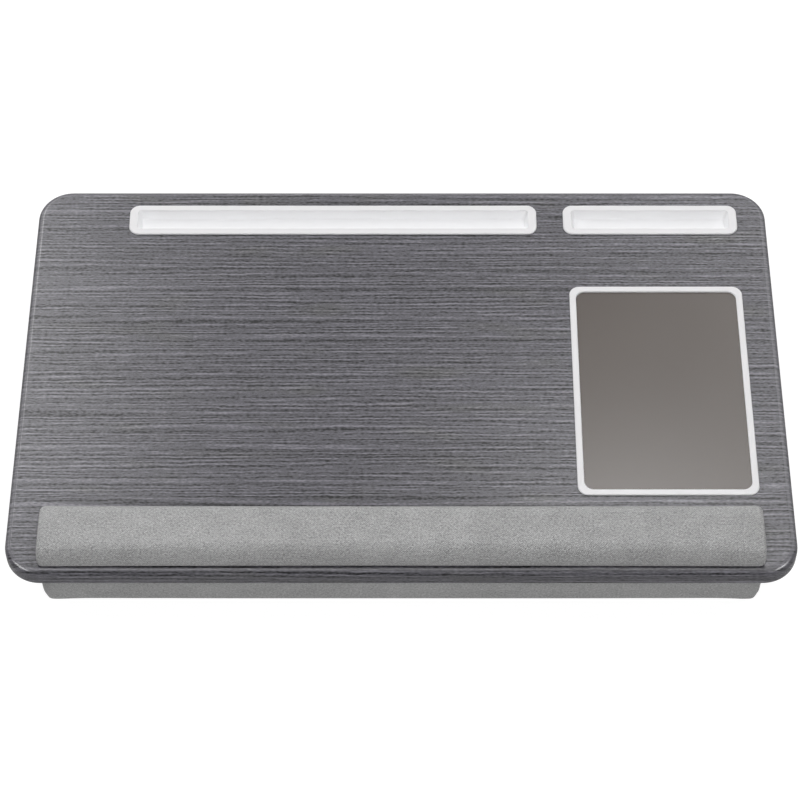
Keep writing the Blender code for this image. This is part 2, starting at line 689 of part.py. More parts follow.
def make_cushion_panel(parts):
    """The stiff panel that closes the cushion."""
    form = CUSHION_FORM.inset(FABRIC_THICKNESS + SEAT_GAP)
    panel = plate(form.plan(), form.seat - CUSHION_PANEL_THICKNESS, form.seat, top_radius=form.seat_radius)
    return new_object("cushion_panel", panel, parts)


def make_cushion_tapes(parts):
    """Four strips in the window of the hem that hold the cushion to the board."""
    window = CUSHION_FORM.plan().grown(-CUSHION_HEM - CUSHION_TAPE_MARGIN)
    width = CUSHION_TAPE_WIDTH
    depth_offset = (window.depth - width) / 2
    length_offset = (window.length - width) / 2
    side_depth = window.depth - 2 * (width + CUSHION_TAPE_MARGIN)
    plans = (
        ("cushion_tape_front", Plan(0, -depth_offset, window.length, width, 0)),
        ("cushion_tape_back", Plan(0, depth_offset, window.length, width, 0)),
        ("cushion_tape_left", Plan(-length_offset, 0, width, side_depth, 0)),
        ("cushion_tape_right", Plan(length_offset, 0, width, side_depth, 0)),
    )
    bottom = CUSHION_PANEL_TOP + SEAT_GAP
    top = BOARD_BOTTOM - SEAT_GAP
    return [new_object(name, block(plan, bottom, top), parts) for name, plan in plans]


def finish(items, material):
    """Give each object its material."""
    for item in items:
        item.data.materials.clear()
        item.data.materials.append(material)


def build_lap_desk():
    """Build every piece of the desk at its place."""
    clear_scene()
    parts = new_collection("lap_desk")
    tools = new_collection("lap_desk_tools")
    recesses = make_recess_tools(tools)

    finish([make_core(parts, recesses)], new_material("fibreboard", FIBREBOARD, 0.9))
    finish([make_foil(parts, tools, recesses)], new_material("grey_grain", GREY_GRAIN, 0.45))
    finish([make_backing(parts)], new_material("backing_paper", WHITE_PAPER, 0.6))

    trays = [
        make_tray("tablet_tray", TABLET_TRAY_PLAN, parts, tools),
        make_tray("phone_tray", PHONE_TRAY_PLAN, parts, tools),
    ]
    frame = make_pad_frame(parts, tools)
    finish([*trays, frame], new_material("white_plastic", WHITE_PLASTIC, 0.4))
    tapes = [
        make_tray_tape("tablet_tray_tape", TABLET_TRAY_PLAN, parts),
        make_tray_tape("phone_tray_tape", PHONE_TRAY_PLAN, parts),
        *make_rest_tapes(parts),
        *make_cushion_tapes(parts),
    ]
    finish(tapes, new_material("foam_tape", TAPE_WHITE, 0.8))

    sheet = make_pad_layer("mouse_pad_sheet", PAD_SHEET_TOP, PAD_SHEET_THICKNESS, parts)
    finish([sheet], new_material("pad_sheet", WARM_GREY, 0.38))
    underlay = make_pad_layer("mouse_pad_foam", PAD_FOAM_TOP, PAD_FOAM_THICKNESS, parts)
    finish([underlay], new_material("dark_foam", DARK_FOAM, 0.95))
    film = make_pad_layer("mouse_pad_adhesive", PAD_ADHESIVE_TOP, PAD_ADHESIVE_THICKNESS, parts)
    finish([film], new_material("adhesive_film", CLEAR_FILM, 0.3))

    covers = [make_rest_cover(parts, tools), make_cushion_cover(parts, tools)]
    finish(covers, new_material("woven_fabric", PALE_FABRIC, 0.95))
    foams = [make_rest_foam(parts, tools), make_cushion_foam(parts, tools)]
    finish(foams, new_material("pale_foam", PALE_FOAM, 0.95))
    boards = [make_rest_base(parts), make_cushion_panel(parts)]
    finish(boards, new_material("hardboard", FIBREBOARD, 0.8))


build_lap_desk()
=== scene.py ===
"""The looks of a lap desk: grained board, two slot trays, a mouse pad, a wrist rest and a cushion.

Metres, +Z up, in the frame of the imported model: X runs along the board to its right and Y runs to
its back edge. Most new pieces are lofts: rows of rounded rectangles, one inside or above the next.
"""

import math

import bmesh
import bpy
import numpy as np
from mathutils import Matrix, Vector


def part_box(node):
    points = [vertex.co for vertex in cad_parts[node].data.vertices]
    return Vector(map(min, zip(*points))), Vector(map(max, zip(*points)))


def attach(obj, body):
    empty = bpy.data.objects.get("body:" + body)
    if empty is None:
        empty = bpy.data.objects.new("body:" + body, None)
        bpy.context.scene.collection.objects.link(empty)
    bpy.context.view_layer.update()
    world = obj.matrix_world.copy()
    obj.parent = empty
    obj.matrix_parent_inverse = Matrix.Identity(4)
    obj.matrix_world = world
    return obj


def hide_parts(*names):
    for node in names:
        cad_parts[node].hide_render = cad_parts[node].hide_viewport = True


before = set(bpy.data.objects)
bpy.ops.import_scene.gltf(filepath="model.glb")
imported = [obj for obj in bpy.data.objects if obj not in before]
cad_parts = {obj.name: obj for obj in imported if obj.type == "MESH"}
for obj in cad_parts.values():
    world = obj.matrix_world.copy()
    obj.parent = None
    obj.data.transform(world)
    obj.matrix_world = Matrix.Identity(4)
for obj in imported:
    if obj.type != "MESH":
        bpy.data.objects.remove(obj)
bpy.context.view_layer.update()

# Board foil
FOIL_THICKNESS = 0.0004
FOIL_LAP = 0.003
BOARD_CORNER_RADIUS = 0.027
BOARD_TOP_EDGE_RADIUS = 0.005
BOARD_BOTTOM_EDGE_RADIUS = 0.002

# Slot trays
TRAY_CORNER_RADIUS = 0.0078
FLANGE_SIDE_WIDTH = 0.0057
FLANGE_END_WIDTH = 0.0069
FLANGE_THICKNESS = 0.0012
FLANGE_RIM_RADIUS = 0.0009
FLANGE_SHARES = (0.15, 0.5, 0.8)
UNDER_FLANGE_SHARES = (1.0, 0.95, 0.5)
MOUTH_EDGE_RADIUS = 0.0006
MOUTH_CORNER_RADIUS = 0.0022
TROUGH_DEPTH = 0.0095
TROUGH_WALL = 0.0015
TROUGH_FLOOR_RADIUS = 0.0013
TROUGH_END_DRAFT = math.radians(13)
TROUGH_SIDE_DRAFT = math.radians(5)
TRAY_STEPS = (40, 4)

# Mouse pad
PAD_CORNER_RADIUS = 0.008
PAD_OPENING_RADIUS = 0.0065
PAD_BAND_WIDTH = 0.0045
PAD_LEG_WIDTH = 0.002
PAD_LIP_WIDTH = 0.0006
PAD_LIP_RADIUS = 0.0078
PAD_LIP_CLEARANCE = 0.0001
PAD_RIM_RADIUS = 0.0008
PAD_SHEET_EDGE_RADIUS = 0.0002
PAD_SHEET_EDGE_STEPS = 3
PAD_SHEET_STRIP = 0.0008

# Wrist rest
REST_EDGE_RADIUS = 0.0100
REST_END_RADIUS = 0.0028
REST_SEAT_RADIUS = 0.0010
REST_PLAN_RADIUS = 0.0026
REST_CROWN = 0.0008
REST_SEAT_FLARE = 0.04
REST_PRESS_SHARE = 0.95
REST_PRESS_REACH = 0.0030
REST_FRONT_LEAN = 0.0005
REST_BACK_PINCH = 0.0018
REST_PINCH_START = 0.69
REST_PINCH_SPAN = 0.3
REST_STEPS = (60, 6)

# Cushion
CUSHION_EDGE_RADIUS = 0.0080
CUSHION_SEAT_RADIUS = 0.002
CUSHION_PLAN_RADIUS = 0.0080
CUSHION_DRAW_IN = 0.0006
CUSHION_EDGE_RISE = 0.0022
CUSHION_FLAT_CUT = 0.0005
CHANNEL_WIDTH = 0.058
CHANNEL_DEPTH = 0.013
CUSHION_STEPS = (60, 40)

# Clearances and construction
SEAT_GAP = 0.0003
POCKET_CLEARANCE = 0.0010
HOLDING_STRIP = 0.0005
ARC_STEPS = 8
CORNER_STEPS = 16
TINY = 1e-9
SHARP_ANGLE = math.radians(40)

# Filling of the padded pieces
REST_VOXEL = 0.003
CUSHION_VOXEL = 0.005
FILLING_FRAMES = 20
EVENING_ROUNDS = 6
REST_REACH = 0.0012
CUSHION_REACH = 0.0022
FILLING_CLOTH = {
    "quality": 5,
    "mass": 0.3,
    "tension_stiffness": 15,
    "compression_stiffness": 15,
    "shear_stiffness": 5,
    "bending_stiffness": 0.5,
    "use_pressure": True,
    "uniform_pressure_force": 4.0,
}

# Linear colours
GRAIN_DARK = (0.0120, 0.0117, 0.0132)
GRAIN_LIGHT = (0.2400, 0.2335, 0.2640)
GRAIN_OLIVE_DARK = (0.0120, 0.0119, 0.0112)
GRAIN_OLIVE_LIGHT = (0.2360, 0.2350, 0.2180)
# Painted highlight: the paler grey towards which the foil's arris is blended
PAINTED_ARRIS_HIGHLIGHT = (0.300, 0.295, 0.315)
PLASTIC_WHITE = (0.92, 0.92, 0.93)
# Painted shade: the darker colour of the mouldings' flat tops
PAINTED_TOP_SHADE = (0.780, 0.773, 0.784)
SHEET_GREY = (0.080, 0.064, 0.054)
CLOTH_DARK = (0.16, 0.16, 0.16)
CLOTH_LIGHT = (0.60, 0.60, 0.60)
FLOOR_GREY = (0.2, 0.2, 0.2, 1.0)
WHITE = (1.0, 1.0, 1.0, 1.0)

# Grain: the middle tone, the sideways sway of its lines in metres, and how far a noise bends them
GRAIN_MIDDLE = 0.35
GRAIN_SWAY = 0.0028
GRAIN_SWAY_CELLS = (40, 110, 1)
GRAIN_SWAY_DETAIL = 3.0
GRAIN_SWAY_ROUGHNESS = 0.65
GRAIN_BEND = 2.6
# Layers: cells per line length and pitch, offset, weight in the tone
GRAIN_LAYERS = (
    ((0.8, 1.4, 1.0), (0.3, 0.7, 0.0), 0.20),
    ((5.0, 2.0, 1.0), (7.3, 1.9, 0.0), 0.18),
    ((22.0, 2.4, 1.0), (5.1, 4.4, 0.0), 0.44),
    ((75.0, 3.0, 1.0), (2.7, 9.2, 0.0), 0.78),
    ((0.5, 0.12, 1.0), (2.2, 6.1, 0.0), 0.16),
)
# Lines: cells and offset of the bend, turns per pitch, cells and offset of the gaps, weight
GRAIN_LINES = (
    ((0.7, 0.40, 1.0), (4.4, 2.6, 0.0), 1.02, (6.5, 0.6, 1.0), (1.4, 7.7, 0.0), 0.42),
    ((1.0, 0.50, 1.0), (9.6, 5.8, 0.0), 1.30, (7.5, 0.8, 1.0), (3.9, 0.4, 0.0), 0.24),
)
# Ranges of a line's light side, dark side and gaps, and of the tint: low, high to low, high
LINE_LIGHT = (0.1, 1.0, 0.0, 1.0)
LINE_DARK = (-1.0, -0.2, 0.50, 0.0)
LINE_SHOWN = (-0.16, 0.20, 0.45, 1.0)
TINT_CELLS = ((3.0, 0.20, 1), (8.1, 3.3, 0))
TINT_SHOWN = (0.55, 0.80, 0.0, 0.45)
GRAIN_ROUGHNESS = (0.0, 0.8, 0.32, 0.24)
GRAIN_RELIEF = 0.00004

# Arris of the foil: drops below the top where it starts, is whole, fades and ends, and its effect
FOIL_ARRIS = (0.000003, 0.00003, 0.00035, 0.0009)
# Painted highlight along the arris: the share by which its colour is paled, then its change of
# roughness
ARRIS_HIGHLIGHT_SHARE = 0.42
ARRIS_ROUGHNESS = -0.06

# Cloth: what each thread system runs along and across, its half waves of shift and its own noise
THREADS = (("X", "Y", 0.0, 3.7), ("Y", "X", 1.0, 9.1))
THREAD_CROSSING = 0.1
THREAD_RELIEF = 0.00018
YARN_CELLS = 0.45
YARN_WEIGHT = 0.9
THREAD_WEIGHT = 0.30
CLOTH_MIDDLE = 0.34
# Fleck and mottle: cells per thread, offset, detail, weight in the tone
CLOTH_LAYERS = (
    ((0.58, 0.62, 0.7), (4.0, 2.0, 5.0), 2.0, 1.20),
    ((0.05, 0.06, 0.05), (1.0, 6.0, 3.0), 3.0, 0.32),
)
CLOTH_LAYER_ROUGHNESS = 0.6
CLOTH_WEAR = (0.3, 0.7, -0.04, 0.04)

# Skins of the mouldings and of the sheet, with ranges from low, high to low, high
SKIN_RELIEF = 0.000008
PLASTIC_ROUGHNESS = (0.2, 0.8, 0.28, 0.33)
# Painted shade on the flat tops: its share by patch, and the drops below the top where it starts
# and is whole
TOP_SHADE_SHARE = (0.0, 1.0, 0.9, 1.0)
TOP_SHADE_DROPS = (FLANGE_RIM_RADIUS * 3 / 4, FLANGE_RIM_RADIUS / 6)
SHEET_ROUGHNESS = (0.1, 0.9, 0.25, 0.27)
SHEET_LIGHTER = 1.08

# Hidden stuffs: dark colour, light colour, grain size, roughness, relief
STUFFS = {
    "fibreboard": ((0.30, 0.20, 0.12), (0.50, 0.37, 0.24), 0.0012, 0.85, 0.0001),
    "backing_paper": ((0.56, 0.56, 0.54), (0.66, 0.66, 0.64), 0.0008, 0.6, 0.00002),
    "foam_tape": ((0.68, 0.68, 0.65), (0.80, 0.80, 0.77), 0.0005, 0.8, 0.00005),
    "dark_foam": ((0.03, 0.03, 0.03), (0.07, 0.07, 0.07), 0.0006, 0.95, 0.0001),
    "adhesive_film": ((0.66, 0.68, 0.70), (0.74, 0.76, 0.78), 0.004, 0.25, 0.00001),
    "hardboard": ((0.26, 0.17, 0.10), (0.40, 0.28, 0.17), 0.0009, 0.7, 0.00005),
}
STUFF_PATCH = 0.05
STUFF_WEIGHTS = (0.8, 0.2)
STUFF_RANGE = (0.3, 0.7)
STUFF_ROUGHNESS_SPREAD = 0.05
# What the CAD nodes that stay are made of, besides the tapes
NODE_STUFFS = {
    "board_core": "fibreboard",
    "backing_sheet": "backing_paper",
    "mouse_pad_foam": "dark_foam",
    "mouse_pad_adhesive": "adhesive_film",
    "wrist_rest_base": "hardboard",
    "cushion_panel": "hardboard",
}

# Camera: fitted to the outlines of the board, the trays and the mouse pad in the photograph
LENS = 117.28
SENSOR_WIDTH = 36.0
FRAME_SHIFT = -0.01244
CAMERA_PLACE = (0.00648, -1.17969, 1.70807)
CAMERA_TILT = math.radians(35)

# Light that a softbox gives: to matt surfaces and in gloss
BOTH, MATT, GLOSS = (True, True), (True, False), (False, True)
# Softboxes: name, place, size, power, light that it gives
SOFTBOXES = (
    ("overhead", (0.0, 0.03, 2.0), (2.4, 0.22), 8.2, BOTH),
    ("front", (0.0, -1.7, 1.9), (2.6, 1.2), 27.8, MATT),
    ("left", (-0.82, 1.28, 1.6), (0.55, 1.0), 9.9, BOTH),
    ("right", (0.82, 1.12, 1.6), (0.50, 0.7), 2.2, BOTH),
    ("right_back", (0.56, 1.66, 1.6), (0.46, 0.34), 2.6, BOTH),
    ("sheet", (0.32, 0.68, 1.6), (0.42, 0.35), 3.8, BOTH),
    ("side_left", (-1.9, 1.1, 0.8), (1.4, 1.4), 8.5, BOTH),
    ("side_right", (1.9, 1.1, 0.8), (1.4, 1.4), 8.5, BOTH),
    ("back", (-0.20, 1.88, 1.6), (1.2, 0.30), 3.3, BOTH),
    ("corner_left", (-1.26, -0.66, 1.05), (0.9, 0.5), 18.0, GLOSS),
    ("corner_right", (1.26, -0.66, 1.05), (0.9, 0.5), 18.0, GLOSS),
)
SOFTBOX_TARGET = (0.0, 0.0, 0.06)
WORLD_LIGHT = 0.08
FLOOR_SIZE = 6.0
FLOOR_LEVEL = -0.0002
FLOOR_LIGHT = 0.38
FLOOR_SHINE = 0.72
FLOOR_WHITENESS = 0.90

CORNERS = ((1, -1), (1, 1), (-1, 1), (-1, -1))


def outline(corner_steps, length_steps=1, depth_steps=1):
    """The points of a rounded rectangle, anticlockwise, as signs and directions in x and y.

    A point is its signs times the half sizes less the radius, plus the radius times its direction.
    Round a corner the signs stay and the direction turns; along a side a sign runs across.
    """
    share = np.linspace(0, 1, corner_steps + 1)
    parts = []
    for quarter, corner in enumerate(CORNERS):
        angle = (quarter - 1 + share) * math.pi / 2
        sign = np.tile(corner, (len(share), 1))
        turn = np.column_stack([sign, np.cos(angle), np.sin(angle)])
        steps = length_steps if quarter % 2 else depth_steps
        across = np.linspace(0, 1, steps + 1)[1:-1, None]
        following = np.array([*CORNERS[(quarter + 1) % 4], *turn[-1, 2:]])
        parts += [turn, turn[-1] + across * (following - turn[-1])]
    return np.vstack(parts)


def loft(shape, rows, centre):
    """A grid of points: one rounded rectangle for each row.

    A row is half length, half depth, corner radius and height; the rectangles share a centre.
    """
    half_length, half_depth, radius, height = np.asarray(rows, float).T[:, :, None]
    sign_x, sign_y, along_x, along_y = shape.T
    x = centre[0] + sign_x * (half_length - radius) + along_x * radius
    y = centre[1] + sign_y * (half_depth - radius) + along_y * radius
    return np.stack([x, y, np.broadcast_to(height, x.shape)], axis=-1)


def grid_faces(rows, columns, closed=False):
    """The quads between neighbouring rows and columns of a grid whose columns meet end to start."""
    row = np.arange(rows if closed else rows - 1)[:, None]
    column = np.arange(columns)[None, :]
    next_row = (row + 1) % rows
    next_column = (column + 1) % columns
    corners = (
        row * columns + column,
        next_row * columns + column,
        next_row * columns + next_column,
        row * columns + next_column,
    )
    return np.stack(corners, axis=-1).reshape(-1, 4)


def make_object(name, points, faces):
    """An object that holds a mesh of points and faces, in the scene."""
    mesh = bpy.data.meshes.new(name)
    mesh.from_pydata(np.asarray(points).reshape(-1, 3).tolist(), [], faces)
    mesh.update()
    made = bpy.data.objects.new(name, mesh)
    bpy.context.scene.collection.objects.link(made)
    return made


def make_solid(name, grid):
    """A closed solid from a loft, its first and last row filled flat."""
    rows, columns = grid.shape[:2]
    faces = grid_faces(rows, columns).tolist()
    faces.append(list(range(columns)))
    faces.append([(rows - 1) * columns + i for i in reversed(range(columns))])
    return make_object(name, grid, faces)


def make_ring(name, grid):
    """A closed ring from a loft whose last row meets its first."""
    return make_object(name, grid, grid_faces(*grid.shape[:2], closed=True).tolist())


def arc(steps=ARC_STEPS):
    """Sine and cosine over a quarter turn, from 0 to 90 degrees."""
    angle = np.linspace(0, math.pi / 2, steps + 1)
    return np.sin(angle), np.cos(angle)


def box_middle(node):
    """A CAD node's lowest corner, highest corner, centre in plan and half sizes in plan."""
    low, high = (np.array(corner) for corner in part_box(node))
    return low, high, (low + high)[:2] / 2, (high - low)[:2] / 2


def set_point_values(mesh, name, values):
    """Store one vector for each vertex of a mesh."""
    attribute = mesh.attributes.new(name, "FLOAT_VECTOR", "POINT")
    attribute.data.foreach_set("vector", np.ascontiguousarray(values, np.float32).ravel())


def coordinates(mesh):
    """The places of a mesh's vertices as an array."""
    places = np.empty(len(mesh.vertices) * 3, np.float32)
    mesh.vertices.foreach_get("co", places)
    return places.reshape(-1, 3).astype(float)


def move_points(piece, change):
    """Pass all of a piece's points through a function."""
    places = change(coordinates(piece.data))
    piece.data.vertices.foreach_set("co", places.astype(np.float32).ravel())
    piece.data.update()


def apply_modifiers(piece):
    """Replace a piece's mesh by the one that its modifiers make."""
    graph = bpy.context.evaluated_depsgraph_get()
    finished = bpy.data.meshes.new_from_object(piece.evaluated_get(graph))
    piece.modifiers.clear()
    piece.data = finished


def shade(piece, material, angle=SHARP_ANGLE):
    """Shade a piece smooth, keep edges over an angle sharp, and give it its material."""
    piece.data.shade_smooth()
    piece.data.set_sharp_from_angle(angle=angle)
    piece.data.materials.clear()
    piece.data.materials.append(material)


def offset_rows(half, radius, outs, heights):
    """Rows that lie outs outside a rounded rectangle, at the given heights, concentric with it."""
    outs = np.asarray(outs, float)
    return np.column_stack([
        half[0] + outs, half[1] + outs,
        np.maximum(radius + outs, TINY), np.broadcast_to(heights, outs.shape),
    ])


def hole_loop(centre, half, radius, height):
    """One rounded rectangle as a loop of points."""
    shape = outline(CORNER_STEPS // 2)
    return loft(shape, offset_rows(half, radius, [0.0], height), centre)[0]


def unrolled_foil(points, centre, half, top):
    """Where each point of the foil lies when the foil is flat.

    Over the flat top that is its own x and y. Past the top's edge the foil runs on along its
    outward direction, by the arc it has turned through round the edge and then by its drop.
    """
    core = np.clip(points[:, :2] - centre, BOARD_CORNER_RADIUS - half, half - BOARD_CORNER_RADIUS)
    out = points[:, :2] - centre - core
    reach = np.linalg.norm(out, axis=1)
    flat = BOARD_CORNER_RADIUS - BOARD_TOP_EDGE_RADIUS
    drop = np.maximum(top - points[:, 2], 0)
    beyond = np.maximum(reach - flat, 0)
    turned = np.arctan2(beyond, np.maximum(BOARD_TOP_EDGE_RADIUS - drop, TINY))
    run = BOARD_TOP_EDGE_RADIUS * turned + np.maximum(drop - BOARD_TOP_EDGE_RADIUS, 0)
    direction = out / np.maximum(reach, TINY)[:, None]
    return core + direction * (np.minimum(reach, flat) + run * (beyond > 0))[:, None]


def make_board_foil(material):
    """The decor foil: a loft over the top edge, the side and the lap, with the flat top filled.

    The rows run from a strip inside the flat top, round a quarter circle to the side, and round a
    smaller one to the underside. The top between the first row and the recesses is triangles.
    """
    low, high, centre, half = box_middle("decor_foil")
    top, bottom = high[2], low[2]
    sine, cosine = arc()
    top_radius, bottom_radius = BOARD_TOP_EDGE_RADIUS, BOARD_BOTTOM_EDGE_RADIUS
    outs = np.concatenate([
        [-top_radius - 2 * HOLDING_STRIP, -top_radius - HOLDING_STRIP],
        top_radius * (sine - 1),
        bottom_radius * (cosine - 1),
        [-bottom_radius - HOLDING_STRIP, -bottom_radius - FOIL_LAP],
    ])
    heights = np.concatenate([
        [top, top],
        top + top_radius * (cosine - 1),
        bottom + bottom_radius * (1 - sine),
        [bottom, bottom],
    ])
    rows = offset_rows(half, BOARD_CORNER_RADIUS, outs, heights)
    grid = loft(outline(CORNER_STEPS), rows, centre)
    piece = make_object("board_foil", grid, grid_faces(*grid.shape[:2]).tolist())

    loops = [recess_loop(node, top) for node in ("tablet_tray", "phone_tray", "mouse_pad_sheet")]
    bm = bmesh.new()
    bm.from_mesh(piece.data)
    first_row = [e for e in bm.edges if e.is_boundary and e.verts[0].co.z > top - TINY]
    rims = [add_loop(bm, loop) for loop in loops]
    edges = first_row + [edge for rim in rims for edge in rim]
    bmesh.ops.triangle_fill(bm, use_beauty=True, use_dissolve=False, edges=edges, normal=(0, 0, 1))
    bmesh.ops.recalc_face_normals(bm, faces=bm.faces)
    bm.to_mesh(piece.data)
    bm.free()

    skin = piece.modifiers.new("foil thickness", "SOLIDIFY")
    skin.thickness = FOIL_THICKNESS
    skin.offset = -1
    apply_modifiers(piece)
    places = coordinates(piece.data)
    flat = unrolled_foil(places, centre, half, top)
    set_point_values(piece.data, "laid_flat", np.column_stack([flat, np.zeros(len(flat))]))
    shade(piece, material)
    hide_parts("decor_foil")
    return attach(piece, "root")


def recess_loop(node, height):
    """The outline of the recess that a tray or the mouse pad drops into."""
    _, _, centre, half = box_middle(node)
    if node == "mouse_pad_sheet":
        clearance = SEAT_GAP + PAD_LEG_WIDTH + SEAT_GAP
        return hole_loop(centre, half + clearance, PAD_OPENING_RADIUS + clearance, height)
    clearance = TROUGH_WALL + POCKET_CLEARANCE
    half = half - (FLANGE_END_WIDTH, FLANGE_SIDE_WIDTH) + clearance
    return hole_loop(centre, half, MOUTH_CORNER_RADIUS + clearance, height)


def add_loop(bm, loop):
    """Add a closed loop of edges to a bmesh."""
    verts = [bm.verts.new(place) for place in loop.tolist()]
    return [bm.edges.new((verts[i - 1], verts[i])) for i in range(len(verts))]


def tray_rows(half):
    """The rows of a tray, from the middle of its floor round to the middle of its underside.

    Floor, floor fillet, drafted wall, mouth edge, flange, rim, then back under the flange and down
    the outside of the trough. Heights are below the flange's top; a wall leans in with its depth.
    """
    sine, cosine = arc()
    floor_radius = TROUGH_FLOOR_RADIUS
    mouth = half - (FLANGE_END_WIDTH, FLANGE_SIDE_WIDTH)
    lean = np.array([math.tan(TROUGH_END_DRAFT), math.tan(TROUGH_SIDE_DRAFT)])

    def wall(depths, out, radius):
        depths = np.atleast_1d(depths)
        sizes = mouth + np.atleast_1d(out)[:, None] - depths[:, None] * lean
        radii = np.broadcast_to(radius, depths.shape)
        return np.column_stack([sizes, radii, -depths])

    fillet_depth = TROUGH_DEPTH - floor_radius * (1 - cosine)
    fillet_out = -floor_radius * (1 - sine)
    floor_outs = [-2 * floor_radius, -floor_radius - HOLDING_STRIP]
    inside = [
        wall([TROUGH_DEPTH] * 2, floor_outs, HOLDING_STRIP),
        wall(fillet_depth, fillet_out, MOUTH_CORNER_RADIUS),
        wall([MOUTH_EDGE_RADIUS + HOLDING_STRIP], [0.0], MOUTH_CORNER_RADIUS),
    ]
    edge = MOUTH_EDGE_RADIUS * (1 - cosine)
    mouth_rows = np.column_stack([
        mouth[0] + edge, mouth[1] + edge,
        MOUTH_CORNER_RADIUS + edge, -MOUTH_EDGE_RADIUS * (1 - sine),
    ])

    def flange(share, height, inset=0.0):
        size = mouth + MOUTH_EDGE_RADIUS + share * (half - mouth - MOUTH_EDGE_RADIUS) - inset
        start = MOUTH_CORNER_RADIUS + MOUTH_EDGE_RADIUS
        radius = start + share * (TRAY_CORNER_RADIUS - start) - inset
        return [*size, radius, height]

    rim = FLANGE_RIM_RADIUS
    flange_rows = [flange(share, 0.0) for share in FLANGE_SHARES]
    flange_rows += [flange(1.0, -rim * (1 - c), rim * (1 - s)) for s, c in zip(sine, cosine)]
    flange_rows += [flange(share, -FLANGE_THICKNESS) for share in UNDER_FLANGE_SHARES]
    outer_depth = TROUGH_DEPTH + TROUGH_WALL
    outer_fillet = outer_depth - floor_radius * (1 - cosine[::-1])
    outer_out = TROUGH_WALL - floor_radius * (1 - sine[::-1])
    outer_radius = MOUTH_CORNER_RADIUS + TROUGH_WALL
    outside = [
        wall([FLANGE_THICKNESS, FLANGE_THICKNESS + HOLDING_STRIP], [TROUGH_WALL] * 2, outer_radius),
        wall(outer_fillet, outer_out, outer_radius),
        wall([outer_depth], [TROUGH_WALL - 2 * floor_radius], MOUTH_CORNER_RADIUS),
    ]
    return np.vstack([*inside, mouth_rows, flange_rows, *outside])


def make_tray(name, node, material):
    """A moulded slot tray that replaces its CAD node."""
    _, high, centre, half = box_middle(node)
    rows = tray_rows(half)
    rows[:, 3] += high[2]
    piece = make_solid(name, loft(outline(CORNER_STEPS, *TRAY_STEPS), rows, centre))
    shade(piece, material)
    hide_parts(node)
    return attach(piece, "root")


def make_pad_ring(material):
    """The mouse pad's ring: a flat band with rounded rims, a leg and a lip over the sheet."""
    low, high, centre, half = box_middle("mouse_pad_frame")
    foot, top = low[2], high[2]
    band_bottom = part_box("board_core")[1].z + FOIL_THICKNESS + 2 * SEAT_GAP
    sine, cosine = arc()
    rim = PAD_RIM_RADIUS
    opening = half - PAD_BAND_WIDTH
    lip = PAD_LIP_WIDTH
    under_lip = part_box("mouse_pad_sheet")[1].z + PAD_LIP_CLEARANCE
    rim_heights = top - rim * (1 - cosine)
    inner_rim = offset_rows(opening, PAD_LIP_RADIUS, rim * (1 - sine) - lip, rim_heights)
    outer_rim = offset_rows(half, PAD_CORNER_RADIUS, rim * (sine - 1), rim_heights)
    rows = np.vstack([
        offset_rows(opening, PAD_OPENING_RADIUS, [0.0, 0.0], [foot, under_lip]),
        offset_rows(opening, PAD_LIP_RADIUS, [-lip], under_lip),
        inner_rim[::-1],
        outer_rim,
        offset_rows(half, PAD_CORNER_RADIUS, [0.0], band_bottom),
        offset_rows(opening, PAD_OPENING_RADIUS, [PAD_LEG_WIDTH] * 2, [band_bottom, foot]),
    ])
    piece = make_ring("pad_ring", loft(outline(CORNER_STEPS), rows, centre))
    shade(piece, material)
    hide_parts("mouse_pad_frame")
    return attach(piece, "root")


def make_pad_sheet(material):
    """The mouse pad's sheet: a thin plate whose upper edge is slightly rounded."""
    low, high, centre, half = box_middle("mouse_pad_sheet")
    sine, cosine = arc(PAD_SHEET_EDGE_STEPS)
    edge = PAD_SHEET_EDGE_RADIUS
    outs = np.concatenate([[-PAD_SHEET_STRIP], edge * (sine - 1), [0.0, -PAD_SHEET_STRIP]])
    heights = np.concatenate([[high[2]], high[2] - edge * (1 - cosine), [low[2], low[2]]])
    rows = offset_rows(half, PAD_OPENING_RADIUS, outs, heights)
    piece = make_solid("pad_sheet", loft(outline(CORNER_STEPS), rows, centre))
    shade(piece, material)
    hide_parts("mouse_pad_sheet")
    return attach(piece, "root")


def padded_rows(half, seat, crest, edge_radius, end_radius, seat_radius, plan_radius):
    """The rows of a padded bar, from its flat crest over the rounded edges to its flat seat.

    At a depth below the crest a side lies in by its radius less the half chord of its circle there,
    so long sides and ends keep their own radii. The seat's edge is a small quarter circle.
    """
    sine, cosine = arc()
    down = math.copysign(1, seat - crest)
    depths = edge_radius * (1 - cosine)
    insets = [
        radius - np.sqrt(np.maximum(radius ** 2 - np.maximum(radius - depths, 0) ** 2, 0))
        for radius in (end_radius, edge_radius)
    ]
    crest_rows = np.column_stack([
        half[0] - insets[0], half[1] - insets[1],
        np.maximum(plan_radius - insets[0], HOLDING_STRIP), crest + down * depths,
    ])
    turn_in = seat_radius * (1 - cosine)
    seat_rows = np.column_stack([
        half[0] - turn_in, half[1] - turn_in,
        plan_radius - turn_in, seat - down * seat_radius * (1 - sine),
    ])
    return np.vstack([crest_rows, seat_rows])


def remeshed(piece, voxel):
    """Give a piece an even mesh, as a simulation needs."""
    remesh = piece.modifiers.new("even mesh", "REMESH")
    remesh.mode = "VOXEL"
    remesh.voxel_size = voxel
    apply_modifiers(piece)


def evened(piece, moves):
    """The moves of a piece's points, each averaged several times with those of its neighbours."""
    ends = np.empty(len(piece.data.edges) * 2, np.int32)
    piece.data.edges.foreach_get("vertices", ends)
    first, second = ends.reshape(-1, 2).T
    neighbours = np.bincount(ends, minlength=len(moves))[:, None]
    for _ in range(EVENING_ROUNDS):
        total = np.zeros_like(moves)
        np.add.at(total, first, moves[second])
        np.add.at(total, second, moves[first])
        moves = (moves + total / neighbours) / 2
    return moves


